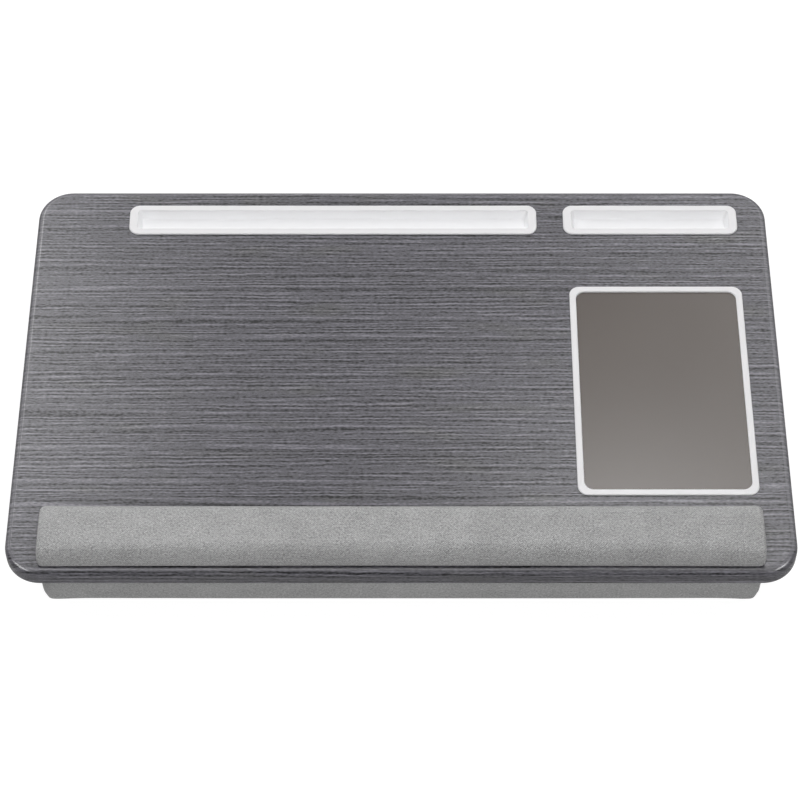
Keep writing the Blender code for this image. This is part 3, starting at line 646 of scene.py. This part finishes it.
def fill_with_foam(piece, held, reach):
    """Swell a closed piece as its filling does, by a cloth simulation with pressure inside.

    Each point moves by reach times its simulated path over that path plus reach, so no point moves
    further than reach. The points that held marks stay where they are.
    """
    start = coordinates(piece.data)
    group = piece.vertex_groups.new(name="held")
    group.add(np.flatnonzero(held(start)).tolist(), 1.0, "REPLACE")
    cloth = piece.modifiers.new("filling", "CLOTH")
    for setting, value in FILLING_CLOTH.items():
        setattr(cloth.settings, setting, value)
    cloth.settings.vertex_group_mass = group.name
    cloth.settings.effector_weights.gravity = 0
    cloth.collision_settings.use_collision = False
    cloth.point_cache.frame_end = FILLING_FRAMES
    scene = bpy.context.scene
    for step in range(1, FILLING_FRAMES + 1):
        scene.frame_set(step)
    graph = bpy.context.evaluated_depsgraph_get()
    swollen = coordinates(piece.evaluated_get(graph).data)
    piece.modifiers.clear()
    piece.vertex_groups.clear()
    scene.frame_set(1)
    path = evened(piece, swollen - start)
    length = np.linalg.norm(path, axis=1, keepdims=True)
    move_points(piece, lambda places: places + path * reach / (length + reach))


def subdivided(piece):
    """Smooth a piece by one level of subdivision."""
    smooth = piece.modifiers.new("smooth", "SUBSURF")
    smooth.levels = 1
    smooth.render_levels = 1
    apply_modifiers(piece)


def unrolled_cloth(points, centre, half, crest, radius):
    """Where each point of a cover lies when its cloth is flat.

    Over the crest that is its own x and y. Past the crest the cloth runs on along its outward
    direction, by the arc it has turned through round the edge and then by its drop.
    """
    place = points[:, :2] - centre
    core = np.clip(place, radius - half, half - radius)
    out = place - core
    reach = np.linalg.norm(out, axis=1)
    drop = np.abs(points[:, 2] - crest)
    turned = np.arctan2(reach, np.maximum(radius - drop, TINY))
    run = radius * turned + np.maximum(drop - radius, 0)
    direction = out / np.maximum(reach, TINY)[:, None]
    flat = core + direction * np.where(reach > TINY, run, 0)[:, None]
    return np.column_stack([flat, np.zeros(len(flat))])


def fitted(places, low, high):
    """Places stretched in plan until they fill the box of the cover that they stand for."""
    for axis in (0, 1):
        least, most = places[:, axis].min(), places[:, axis].max()
        share = (places[:, axis] - least) / (most - least)
        places[:, axis] = low[axis] + share * (high[axis] - low[axis])
    return places


def make_wrist_rest(material):
    """The wrist rest: a padded bar with a crown, swollen by its filling and flat on the board.

    The crown grows with the height and falls with the square across. By the fourth power of the
    depth the foot flares; its back ends draw in by a square, and its front leans out. A lift off
    the seat shrinks by a share that fades exponentially, which presses the foot on the board.
    """
    low, high, centre, half = box_middle("wrist_rest_cover")
    seat, crest = low[2], high[2] - REST_CROWN
    half = half - REST_REACH / 2
    rows = padded_rows(
        half, seat, crest, REST_EDGE_RADIUS, REST_END_RADIUS, REST_SEAT_RADIUS, REST_PLAN_RADIUS,
    )
    piece = make_solid("wrist_rest_padding", loft(outline(ARC_STEPS, *REST_STEPS), rows, centre))
    remeshed(piece, REST_VOXEL)
    held = seat + REST_VOXEL / 2
    fill_with_foam(piece, lambda places: places[:, 2] < held, REST_REACH)
    subdivided(piece)

    def settle(places):
        across = np.clip((places[:, 1] - centre[1]) / half[1], -1, 1)
        height = (places[:, 2] - seat) / (crest - seat)
        places[:, 2] += np.clip(height, 0, 1) * (REST_CROWN - REST_REACH / 2) * (1 - across ** 2)
        depth = np.clip(1 - height, 0, 1)
        flare = 1 + REST_SEAT_FLARE * depth ** 4
        places[:, 1] = centre[1] + (places[:, 1] - centre[1]) * flare
        pinch = np.clip((across - REST_PINCH_START) / REST_PINCH_SPAN, 0, 1) ** 2
        places[:, 0] -= (places[:, 0] - centre[0]) / half[0] * REST_BACK_PINCH * pinch
        lift = np.clip(places[:, 2], seat, high[2]) - seat
        places[:, 2] = seat + lift * (1 - REST_PRESS_SHARE * np.exp(-lift / REST_PRESS_REACH))
        places = fitted(places, low, high)
        places[:, 1] -= REST_FRONT_LEAN * np.clip(-across, 0, 1) ** 4 * depth
        return places

    move_points(piece, settle)
    flat = unrolled_cloth(coordinates(piece.data), centre, half, high[2], REST_EDGE_RADIUS)
    set_point_values(piece.data, "laid_flat", flat)
    shade(piece, material, math.pi)
    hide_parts("wrist_rest_cover", "wrist_rest_foam")
    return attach(piece, "root")


def make_cushion(material):
    """The cushion: two padded lobes with a channel between, swollen by their filling.

    The underside hangs lowest under the middle of each lobe, rises with the fourth power of the
    distance to every edge, and rises by a squared cosine into the channel. It is flat on the floor.
    """
    low, high, centre, half = box_middle("cushion_cover")
    seat, crest = high[2], low[2]
    half = half - CUSHION_REACH / 2
    lobe_middle = (half[1] + CHANNEL_WIDTH / 2) / 2
    rows = padded_rows(
        half, seat, crest,
        CUSHION_EDGE_RADIUS, CUSHION_EDGE_RADIUS, CUSHION_SEAT_RADIUS, CUSHION_PLAN_RADIUS,
    )
    piece = make_solid("cushion_padding", loft(outline(ARC_STEPS, *CUSHION_STEPS), rows, centre))
    remeshed(piece, CUSHION_VOXEL)

    def contour(places):
        x, y, z = places.T
        along = x / half[0]
        across = y / half[1]
        off_lobe = np.minimum(np.abs(np.abs(y) - lobe_middle) / (half[1] - lobe_middle), 1)
        rise = CUSHION_EDGE_RISE * (off_lobe ** 4 + along ** 4) / 2
        channel = CHANNEL_DEPTH * np.cos(np.minimum(np.abs(y) / CHANNEL_WIDTH, 0.5) * math.pi) ** 2
        fade = np.clip(1 - z / (seat - CUSHION_EDGE_RADIUS / 2), 0, 1)
        belly = 4 * (z / seat) * (1 - z / seat)
        places[:, 2] += fade * (rise + channel - CUSHION_FLAT_CUT)
        places[:, 0] -= along * belly * CUSHION_DRAW_IN * (1 - across ** 2)
        places[:, 1] -= across * belly * CUSHION_DRAW_IN * (1 - along ** 2)
        return places

    move_points(piece, contour)
    held = seat - CUSHION_VOXEL / 2
    fill_with_foam(piece, lambda places: places[:, 2] > held, CUSHION_REACH)
    subdivided(piece)

    def settle(places):
        places[:, 2] = np.clip(places[:, 2], crest, seat)
        return fitted(places, low, high)

    move_points(piece, settle)
    flat = unrolled_cloth(coordinates(piece.data), centre, half, crest, CUSHION_EDGE_RADIUS)
    set_point_values(piece.data, "laid_flat", flat)
    shade(piece, material, math.pi)
    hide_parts("cushion_cover", "cushion_foam")
    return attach(piece, "root")


def add_node(tree, kind, inputs=None, **settings):
    """Add a shader node, with its settings, and set or link its inputs."""
    made = tree.nodes.new(kind)
    for name, value in settings.items():
        setattr(made, name, value)
    for name, value in (inputs or {}).items():
        if isinstance(value, bpy.types.NodeSocket):
            tree.links.new(value, made.inputs[name])
        else:
            made.inputs[name].default_value = value
    return made


def maths(tree, operation, *values):
    """The result of a Math node."""
    return add_node(tree, "ShaderNodeMath", dict(enumerate(values)), operation=operation).outputs[0]


def centred(tree, value):
    """A value around one half, moved to lie around zero."""
    return maths(tree, "SUBTRACT", value, 0.5)


def axes(tree, vector):
    """The X, Y and Z of a vector."""
    return add_node(tree, "ShaderNodeSeparateXYZ", {0: vector}).outputs


def in_cells(tree, vector, size):
    """A vector measured in cells of the given size."""
    place = add_node(tree, "ShaderNodeVectorMath", {0: vector}, operation="SCALE")
    tree.links.new(maths(tree, "DIVIDE", 1.0, size), place.inputs["Scale"])
    return place.outputs[0]


def scaled(tree, vector, scale, offset=(0, 0, 0)):
    """A vector scaled and moved by a Mapping node."""
    inputs = {"Vector": vector, "Scale": scale, "Location": offset}
    return add_node(tree, "ShaderNodeMapping", inputs).outputs[0]


def noise(tree, vector, detail=2.0, roughness=0.5):
    """A noise value around one half."""
    inputs = {"Vector": vector, "Scale": 1.0, "Detail": detail, "Roughness": roughness}
    return add_node(tree, "ShaderNodeTexNoise", inputs).outputs["Fac"]


def ranged(tree, value, low, high, out_low=0.0, out_high=1.0, smooth=False):
    """A value mapped from one range to another, and held inside it."""
    inputs = {0: value, 1: low, 2: high, 3: out_low, 4: out_high}
    kind = "SMOOTHSTEP" if smooth else "LINEAR"
    made = add_node(tree, "ShaderNodeMapRange", inputs, interpolation_type=kind)
    return made.outputs[0]


def blended(tree, share, first, second):
    """Two colours mixed by a share."""
    made = add_node(tree, "ShaderNodeMix", data_type="RGBA", clamp_factor=True)
    for index, value in ((0, share), (6, first), (7, second)):
        if isinstance(value, bpy.types.NodeSocket):
            tree.links.new(value, made.inputs[index])
        else:
            made.inputs[index].default_value = value if index == 0 else (*value, 1.0)
    return made.outputs[2]


def new_group(name, inputs, outputs):
    """An empty shader node group, with its input and output nodes."""
    tree = bpy.data.node_groups.new(name, "ShaderNodeTree")
    for label, kind, default in inputs:
        socket = tree.interface.new_socket(label, in_out="INPUT", socket_type=kind)
        if default is not None:
            socket.default_value = default
    for label, kind in outputs:
        tree.interface.new_socket(label, in_out="OUTPUT", socket_type=kind)
    return tree, tree.nodes.new("NodeGroupInput").outputs, tree.nodes.new("NodeGroupOutput").inputs


def use_group(tree, group, inputs):
    """Place a node group in a material and give back its outputs."""
    return add_node(tree, "ShaderNodeGroup", inputs, node_tree=group).outputs


def streaked_grain():
    """Group: a printed wood grain of long thin wavy lines along x, with short specks between.

    The tone is a sum of noises on cells stretched along x, each with its mean taken off, and of the
    cosine of a phase. The phase grows across the lines, one turn for each, and a noise bends it; a
    second noise lets the lines come and go.
    """
    tree, given, made = new_group(
        "Streaked Grain",
        [("Vector", "NodeSocketVector", None), ("Line Length", "NodeSocketFloat", 0.220),
         ("Line Pitch", "NodeSocketFloat", 0.0038)],
        [("Tone", "NodeSocketFloat"), ("Height", "NodeSocketFloat"), ("Tint", "NodeSocketFloat")],
    )
    parts = axes(tree, given["Vector"])
    sway_place = scaled(tree, given["Vector"], GRAIN_SWAY_CELLS)
    sway = centred(tree, noise(tree, sway_place, GRAIN_SWAY_DETAIL, GRAIN_SWAY_ROUGHNESS))
    across = maths(tree, "ADD", parts["Y"], maths(tree, "MULTIPLY", sway, GRAIN_SWAY))
    along = maths(tree, "DIVIDE", parts["X"], given["Line Length"])
    across = maths(tree, "DIVIDE", across, given["Line Pitch"])
    course = add_node(tree, "ShaderNodeCombineXYZ", {"X": along, "Y": across}).outputs[0]

    def layer(scale, offset):
        """A noise around zero on cells of the given share of a line's length and pitch."""
        return centred(tree, noise(tree, scaled(tree, course, scale, offset), detail=0.0))

    tone = GRAIN_MIDDLE
    for scale, offset, weight in GRAIN_LAYERS:
        tone = maths(tree, "MULTIPLY_ADD", layer(scale, offset), weight, tone)
    for bend, offset, share, cut, cut_offset, weight in GRAIN_LINES:
        bent = maths(tree, "MULTIPLY", layer(bend, offset), GRAIN_BEND)
        turns = maths(tree, "MULTIPLY_ADD", across, share, bent)
        crest = maths(tree, "COSINE", maths(tree, "MULTIPLY", turns, 2 * math.pi))
        light = ranged(tree, crest, *LINE_LIGHT, smooth=True)
        dark = ranged(tree, crest, *LINE_DARK, smooth=True)
        shown = ranged(tree, layer(cut, cut_offset), *LINE_SHOWN, smooth=True)
        line = maths(tree, "MULTIPLY", maths(tree, "SUBTRACT", light, dark), shown)
        tone = maths(tree, "MULTIPLY_ADD", line, weight, tone)
    tint = noise(tree, scaled(tree, course, *TINT_CELLS), detail=1.0)
    tree.links.new(tone, made["Tone"])
    tree.links.new(tone, made["Height"])
    tree.links.new(ranged(tree, tint, *TINT_SHOWN, smooth=True), made["Tint"])
    return tree


def grain_colour(tree, grain):
    """The foil's colour from the grain's tone and tint: violet grey with faint olive zones."""
    violet = blended(tree, grain["Tone"], GRAIN_DARK, GRAIN_LIGHT)
    olive = blended(tree, grain["Tone"], GRAIN_OLIVE_DARK, GRAIN_OLIVE_LIGHT)
    return blended(tree, grain["Tint"], violet, olive)


def woven_cloth():
    """Group: a plain weave of two thread systems that pass over and under each other.

    A thread's height is the sine across it times one plus the cosine along it, and neighbours are
    half a wave apart. Its tone is a noise stretched along it, so each spun yarn has its own flecks.
    """
    tree, given, made = new_group(
        "Woven Cloth",
        [("Vector", "NodeSocketVector", None), ("Thread Pitch", "NodeSocketFloat", 0.0009)],
        [("Tone", "NodeSocketFloat"), ("Height", "NodeSocketFloat")],
    )
    place = in_cells(tree, given["Vector"], given["Thread Pitch"])
    parts = axes(tree, place)
    threads = []
    for along, across, shift, depth in THREADS:
        index = maths(tree, "FLOOR", parts[across])
        profile = maths(tree, "SINE", maths(tree, "MULTIPLY", parts[across], math.pi))
        rounded = maths(tree, "ABSOLUTE", profile)
        phase = maths(tree, "ADD", maths(tree, "ADD", parts[along], index), shift)
        wave = maths(tree, "COSINE", maths(tree, "MULTIPLY", phase, math.pi))
        over = maths(tree, "MULTIPLY_ADD", wave, 0.5, 0.5)
        spun = {"X": maths(tree, "MULTIPLY", parts[along], YARN_CELLS), "Y": index, "Z": depth}
        yarn = add_node(tree, "ShaderNodeCombineXYZ", spun).outputs[0]
        threads.append((maths(tree, "MULTIPLY", rounded, over), noise(tree, yarn, detail=1.0)))
    (weft, weft_tone), (warp, warp_tone) = threads
    height = maths(tree, "MAXIMUM", weft, warp)
    above = maths(tree, "SUBTRACT", weft, warp)
    weft_shows = ranged(tree, above, -THREAD_CROSSING, THREAD_CROSSING)
    change = maths(tree, "SUBTRACT", weft_tone, warp_tone)
    yarn_tone = maths(tree, "MULTIPLY_ADD", change, weft_shows, warp_tone)
    tone = maths(tree, "MULTIPLY_ADD", centred(tree, yarn_tone), YARN_WEIGHT, CLOTH_MIDDLE)
    tone = maths(tree, "MULTIPLY_ADD", height, THREAD_WEIGHT, tone)
    for scale, offset, detail, weight in CLOTH_LAYERS:
        spots = noise(tree, scaled(tree, place, scale, offset), detail, CLOTH_LAYER_ROUGHNESS)
        tone = maths(tree, "MULTIPLY_ADD", centred(tree, spots), weight, tone)
    tree.links.new(tone, made["Tone"])
    tree.links.new(height, made["Height"])
    return tree


def speckle():
    """Group: fine particles over slow patches, for pressed, foamed and moulded stuff."""
    tree, given, made = new_group(
        "Speckle",
        [("Vector", "NodeSocketVector", None), ("Grain Size", "NodeSocketFloat", 0.0005),
         ("Patch Size", "NodeSocketFloat", 0.05)],
        [("Tone", "NodeSocketFloat"), ("Patch", "NodeSocketFloat"), ("Height", "NodeSocketFloat")],
    )
    outputs = []
    for size, detail in (("Grain Size", 2.0), ("Patch Size", 1.0)):
        outputs.append(noise(tree, in_cells(tree, given["Vector"], given[size]), detail=detail))
    tree.links.new(outputs[0], made["Tone"])
    tree.links.new(outputs[1], made["Patch"])
    tree.links.new(outputs[0], made["Height"])
    return tree


def new_material(name, **constants):
    """A material and its Principled shader, with constants set on the shader's own sockets."""
    material = bpy.data.materials.new(name)
    material.use_nodes = True
    shader = material.node_tree.nodes["Principled BSDF"]
    for label, value in constants.items():
        shader.inputs[label.replace("_", " ")].default_value = value
    return material, material.node_tree, shader


def object_place(tree):
    """The place of a point in its object, which is its place in the desk."""
    return add_node(tree, "ShaderNodeTexCoord").outputs["Object"]


def laid_flat(tree):
    """The place of a point on its foil or cloth, laid flat."""
    return add_node(tree, "ShaderNodeAttribute", attribute_name="laid_flat").outputs["Vector"]


def bump(tree, shader, height, distance):
    """Let a height move the shader's normal."""
    inputs = {"Height": height, "Distance": distance, "Strength": 1.0}
    made = add_node(tree, "ShaderNodeBump", inputs)
    tree.links.new(made.outputs[0], shader.inputs["Normal"])


def grain_foil(grain):
    """Satin grey foil with a printed, lightly embossed wood grain, and a painted highlight along
    its arris.
    """
    material, tree, shader = new_material("grain_foil")
    streaks = use_group(tree, grain, {"Vector": laid_flat(tree)})
    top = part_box("decor_foil")[1].z
    drop = maths(tree, "SUBTRACT", top, axes(tree, object_place(tree))["Z"])
    starts, whole, fades, ends = FOIL_ARRIS
    arris = maths(tree, "MULTIPLY", ranged(tree, drop, starts, whole, smooth=True),
                  ranged(tree, drop, fades, ends, 1.0, 0.0, smooth=True))
    # Painted highlight: the arris colour is blended towards a paler grey
    painted_highlight = maths(tree, "MULTIPLY", arris, ARRIS_HIGHLIGHT_SHARE)
    colour = blended(tree, painted_highlight, grain_colour(tree, streaks), PAINTED_ARRIS_HIGHLIGHT)
    tree.links.new(colour, shader.inputs["Base Color"])
    rough = ranged(tree, streaks["Tone"], *GRAIN_ROUGHNESS)
    rough = maths(tree, "MULTIPLY_ADD", arris, ARRIS_ROUGHNESS, rough)
    tree.links.new(rough, shader.inputs["Roughness"])
    bump(tree, shader, streaks["Height"], GRAIN_RELIEF)
    return material


def white_plastic(dust):
    """White moulded plastic with a fine satin skin, and a painted shade that darkens its flat top.
    """
    material, tree, shader = new_material("white_plastic", Specular_IOR_Level=0.25)
    place = object_place(tree)
    skin = use_group(tree, dust, {"Vector": place, "Grain Size": 0.0004, "Patch Size": 0.03})
    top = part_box("tablet_tray")[1].z
    starts, whole = (top - drop for drop in TOP_SHADE_DROPS)
    # Painted shade: the flat top is darkened in patches, so that the rims and walls stay brighter
    painted_top_shade = ranged(tree, axes(tree, place)["Z"], starts, whole, smooth=True)
    painted_top_shade = maths(tree, "MULTIPLY", painted_top_shade, ranged(tree, skin["Patch"], *TOP_SHADE_SHARE))
    tree.links.new(blended(tree, painted_top_shade, PLASTIC_WHITE, PAINTED_TOP_SHADE), shader.inputs["Base Color"])
    rough = ranged(tree, skin["Patch"], *PLASTIC_ROUGHNESS, smooth=True)
    tree.links.new(rough, shader.inputs["Roughness"])
    bump(tree, shader, skin["Height"], SKIN_RELIEF)
    return material


def pad_sheet(dust):
    """Satin warm-grey sheet with a very fine pebbled skin."""
    material, tree, shader = new_material("pad_sheet", Specular_IOR_Level=0.75)
    place = object_place(tree)
    skin = use_group(tree, dust, {"Vector": place, "Grain Size": 0.0003, "Patch Size": 0.08})
    lighter = tuple(channel * SHEET_LIGHTER for channel in SHEET_GREY)
    tree.links.new(blended(tree, skin["Patch"], SHEET_GREY, lighter), shader.inputs["Base Color"])
    rough = ranged(tree, skin["Patch"], *SHEET_ROUGHNESS, smooth=True)
    tree.links.new(rough, shader.inputs["Roughness"])
    bump(tree, shader, skin["Height"], SKIN_RELIEF)
    return material


def woven_fabric(weave, dust):
    """Light grey woven fabric with a fleck."""
    material, tree, shader = new_material(
        "woven_fabric", Sheen_Weight=0.25, Sheen_Roughness=0.5, Roughness=0.9,
    )
    cloth = use_group(tree, weave, {"Vector": laid_flat(tree)})
    place = object_place(tree)
    soft = use_group(tree, dust, {"Vector": place, "Grain Size": 0.003, "Patch Size": 0.05})
    tone = maths(tree, "ADD", cloth["Tone"], ranged(tree, soft["Patch"], *CLOTH_WEAR))
    tree.links.new(blended(tree, tone, CLOTH_DARK, CLOTH_LIGHT), shader.inputs["Base Color"])
    bump(tree, shader, cloth["Height"], THREAD_RELIEF)
    return material


def particle_material(name, dust, dark, light, grain, roughness, relief):
    """A plain pressed, foamed or coated stuff: two close colours in fine particles."""
    material, tree, shader = new_material(name)
    sizes = {"Grain Size": grain, "Patch Size": STUFF_PATCH}
    stuff = use_group(tree, dust, {"Vector": object_place(tree), **sizes})
    fine, broad = STUFF_WEIGHTS
    patches = maths(tree, "MULTIPLY", stuff["Patch"], broad)
    tone = maths(tree, "MULTIPLY_ADD", stuff["Tone"], fine, patches)
    colour = blended(tree, ranged(tree, tone, *STUFF_RANGE), dark, light)
    tree.links.new(colour, shader.inputs["Base Color"])
    least, most = roughness - STUFF_ROUGHNESS_SPREAD, roughness + STUFF_ROUGHNESS_SPREAD
    rough = ranged(tree, stuff["Tone"], *STUFF_RANGE, least, most)
    tree.links.new(rough, shader.inputs["Roughness"])
    bump(tree, shader, stuff["Height"], relief)
    return material


def dress_hidden_nodes(dust):
    """Give the CAD nodes that stay their materials."""
    made = {name: particle_material(name, dust, *look) for name, look in STUFFS.items()}
    for name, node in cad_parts.items():
        stuff = made["foam_tape"] if "tape" in name else made.get(NODE_STUFFS.get(name))
        if stuff:
            node.data.materials.clear()
            node.data.materials.append(stuff)


def make_floor():
    """A pale floor, white to the camera, duller as a source of light, seen from above only."""
    grid = [[x * FLOOR_SIZE, y * FLOOR_SIZE, FLOOR_LEVEL] for x, y in CORNERS]
    floor = make_object("floor", grid, [[0, 1, 2, 3]])
    material, tree, shader = new_material(
        "pale_floor", Base_Color=FLOOR_GREY, Roughness=1.0, Emission_Color=WHITE,
    )
    path = add_node(tree, "ShaderNodeLightPath").outputs
    dulled = ranged(tree, path["Is Glossy Ray"], 0.0, 1.0, FLOOR_LIGHT, FLOOR_LIGHT * FLOOR_SHINE)
    whiter = ranged(tree, path["Is Camera Ray"], 0.0, 1.0, 0.0, FLOOR_WHITENESS - FLOOR_LIGHT)
    glow = maths(tree, "ADD", dulled, whiter)
    tree.links.new(glow, shader.inputs["Emission Strength"])
    facing = add_node(tree, "ShaderNodeNewGeometry").outputs["Backfacing"]
    clear = add_node(tree, "ShaderNodeBsdfTransparent").outputs[0]
    sides = {0: facing, 1: shader.outputs[0], 2: clear}
    mixed = add_node(tree, "ShaderNodeMixShader", sides).outputs[0]
    tree.links.new(mixed, tree.nodes["Material Output"].inputs["Surface"])
    floor.data.materials.append(material)


def light_scene():
    """Plain soft studio light: a pale world and rectangular softboxes that face the desk."""
    world = bpy.data.worlds.new("studio")
    world.use_nodes = True
    sky = world.node_tree.nodes["Background"].inputs
    sky["Color"].default_value = WHITE
    sky["Strength"].default_value = WORLD_LIGHT
    bpy.context.scene.world = world
    for name, place, size, power, seen in SOFTBOXES:
        light = bpy.data.lights.new(name, "AREA")
        light.shape = "RECTANGLE"
        light.size, light.size_y = size
        light.energy = power
        lamp = bpy.data.objects.new(name, light)
        bpy.context.scene.collection.objects.link(lamp)
        lamp.location = place
        facing = Vector(SOFTBOX_TARGET) - Vector(place)
        lamp.rotation_euler = facing.to_track_quat("-Z", "Y").to_euler()
        lamp.visible_camera = False
        lamp.visible_diffuse, lamp.visible_glossy = seen


def set_camera():
    """The camera of the photograph."""
    lens = bpy.data.cameras.new("camera")
    lens.lens = LENS
    lens.sensor_width = SENSOR_WIDTH
    lens.shift_x = FRAME_SHIFT
    camera = bpy.data.objects.new("camera", lens)
    bpy.context.scene.collection.objects.link(camera)
    camera.location = CAMERA_PLACE
    camera.rotation_euler = (CAMERA_TILT, 0, 0)
    bpy.context.scene.camera = camera
    bpy.context.scene.view_settings.view_transform = "Standard"


def dress_desk():
    """Make every piece and its material."""
    grain, weave, dust = streaked_grain(), woven_cloth(), speckle()
    plastic = white_plastic(dust)
    fabric = woven_fabric(weave, dust)
    make_board_foil(grain_foil(grain))
    make_tray("tablet_tray_body", "tablet_tray", plastic)
    make_tray("phone_tray_body", "phone_tray", plastic)
    make_pad_ring(plastic)
    make_pad_sheet(pad_sheet(dust))
    make_wrist_rest(fabric)
    make_cushion(fabric)
    dress_hidden_nodes(dust)


dress_desk()
make_floor()
light_scene()
set_camera()
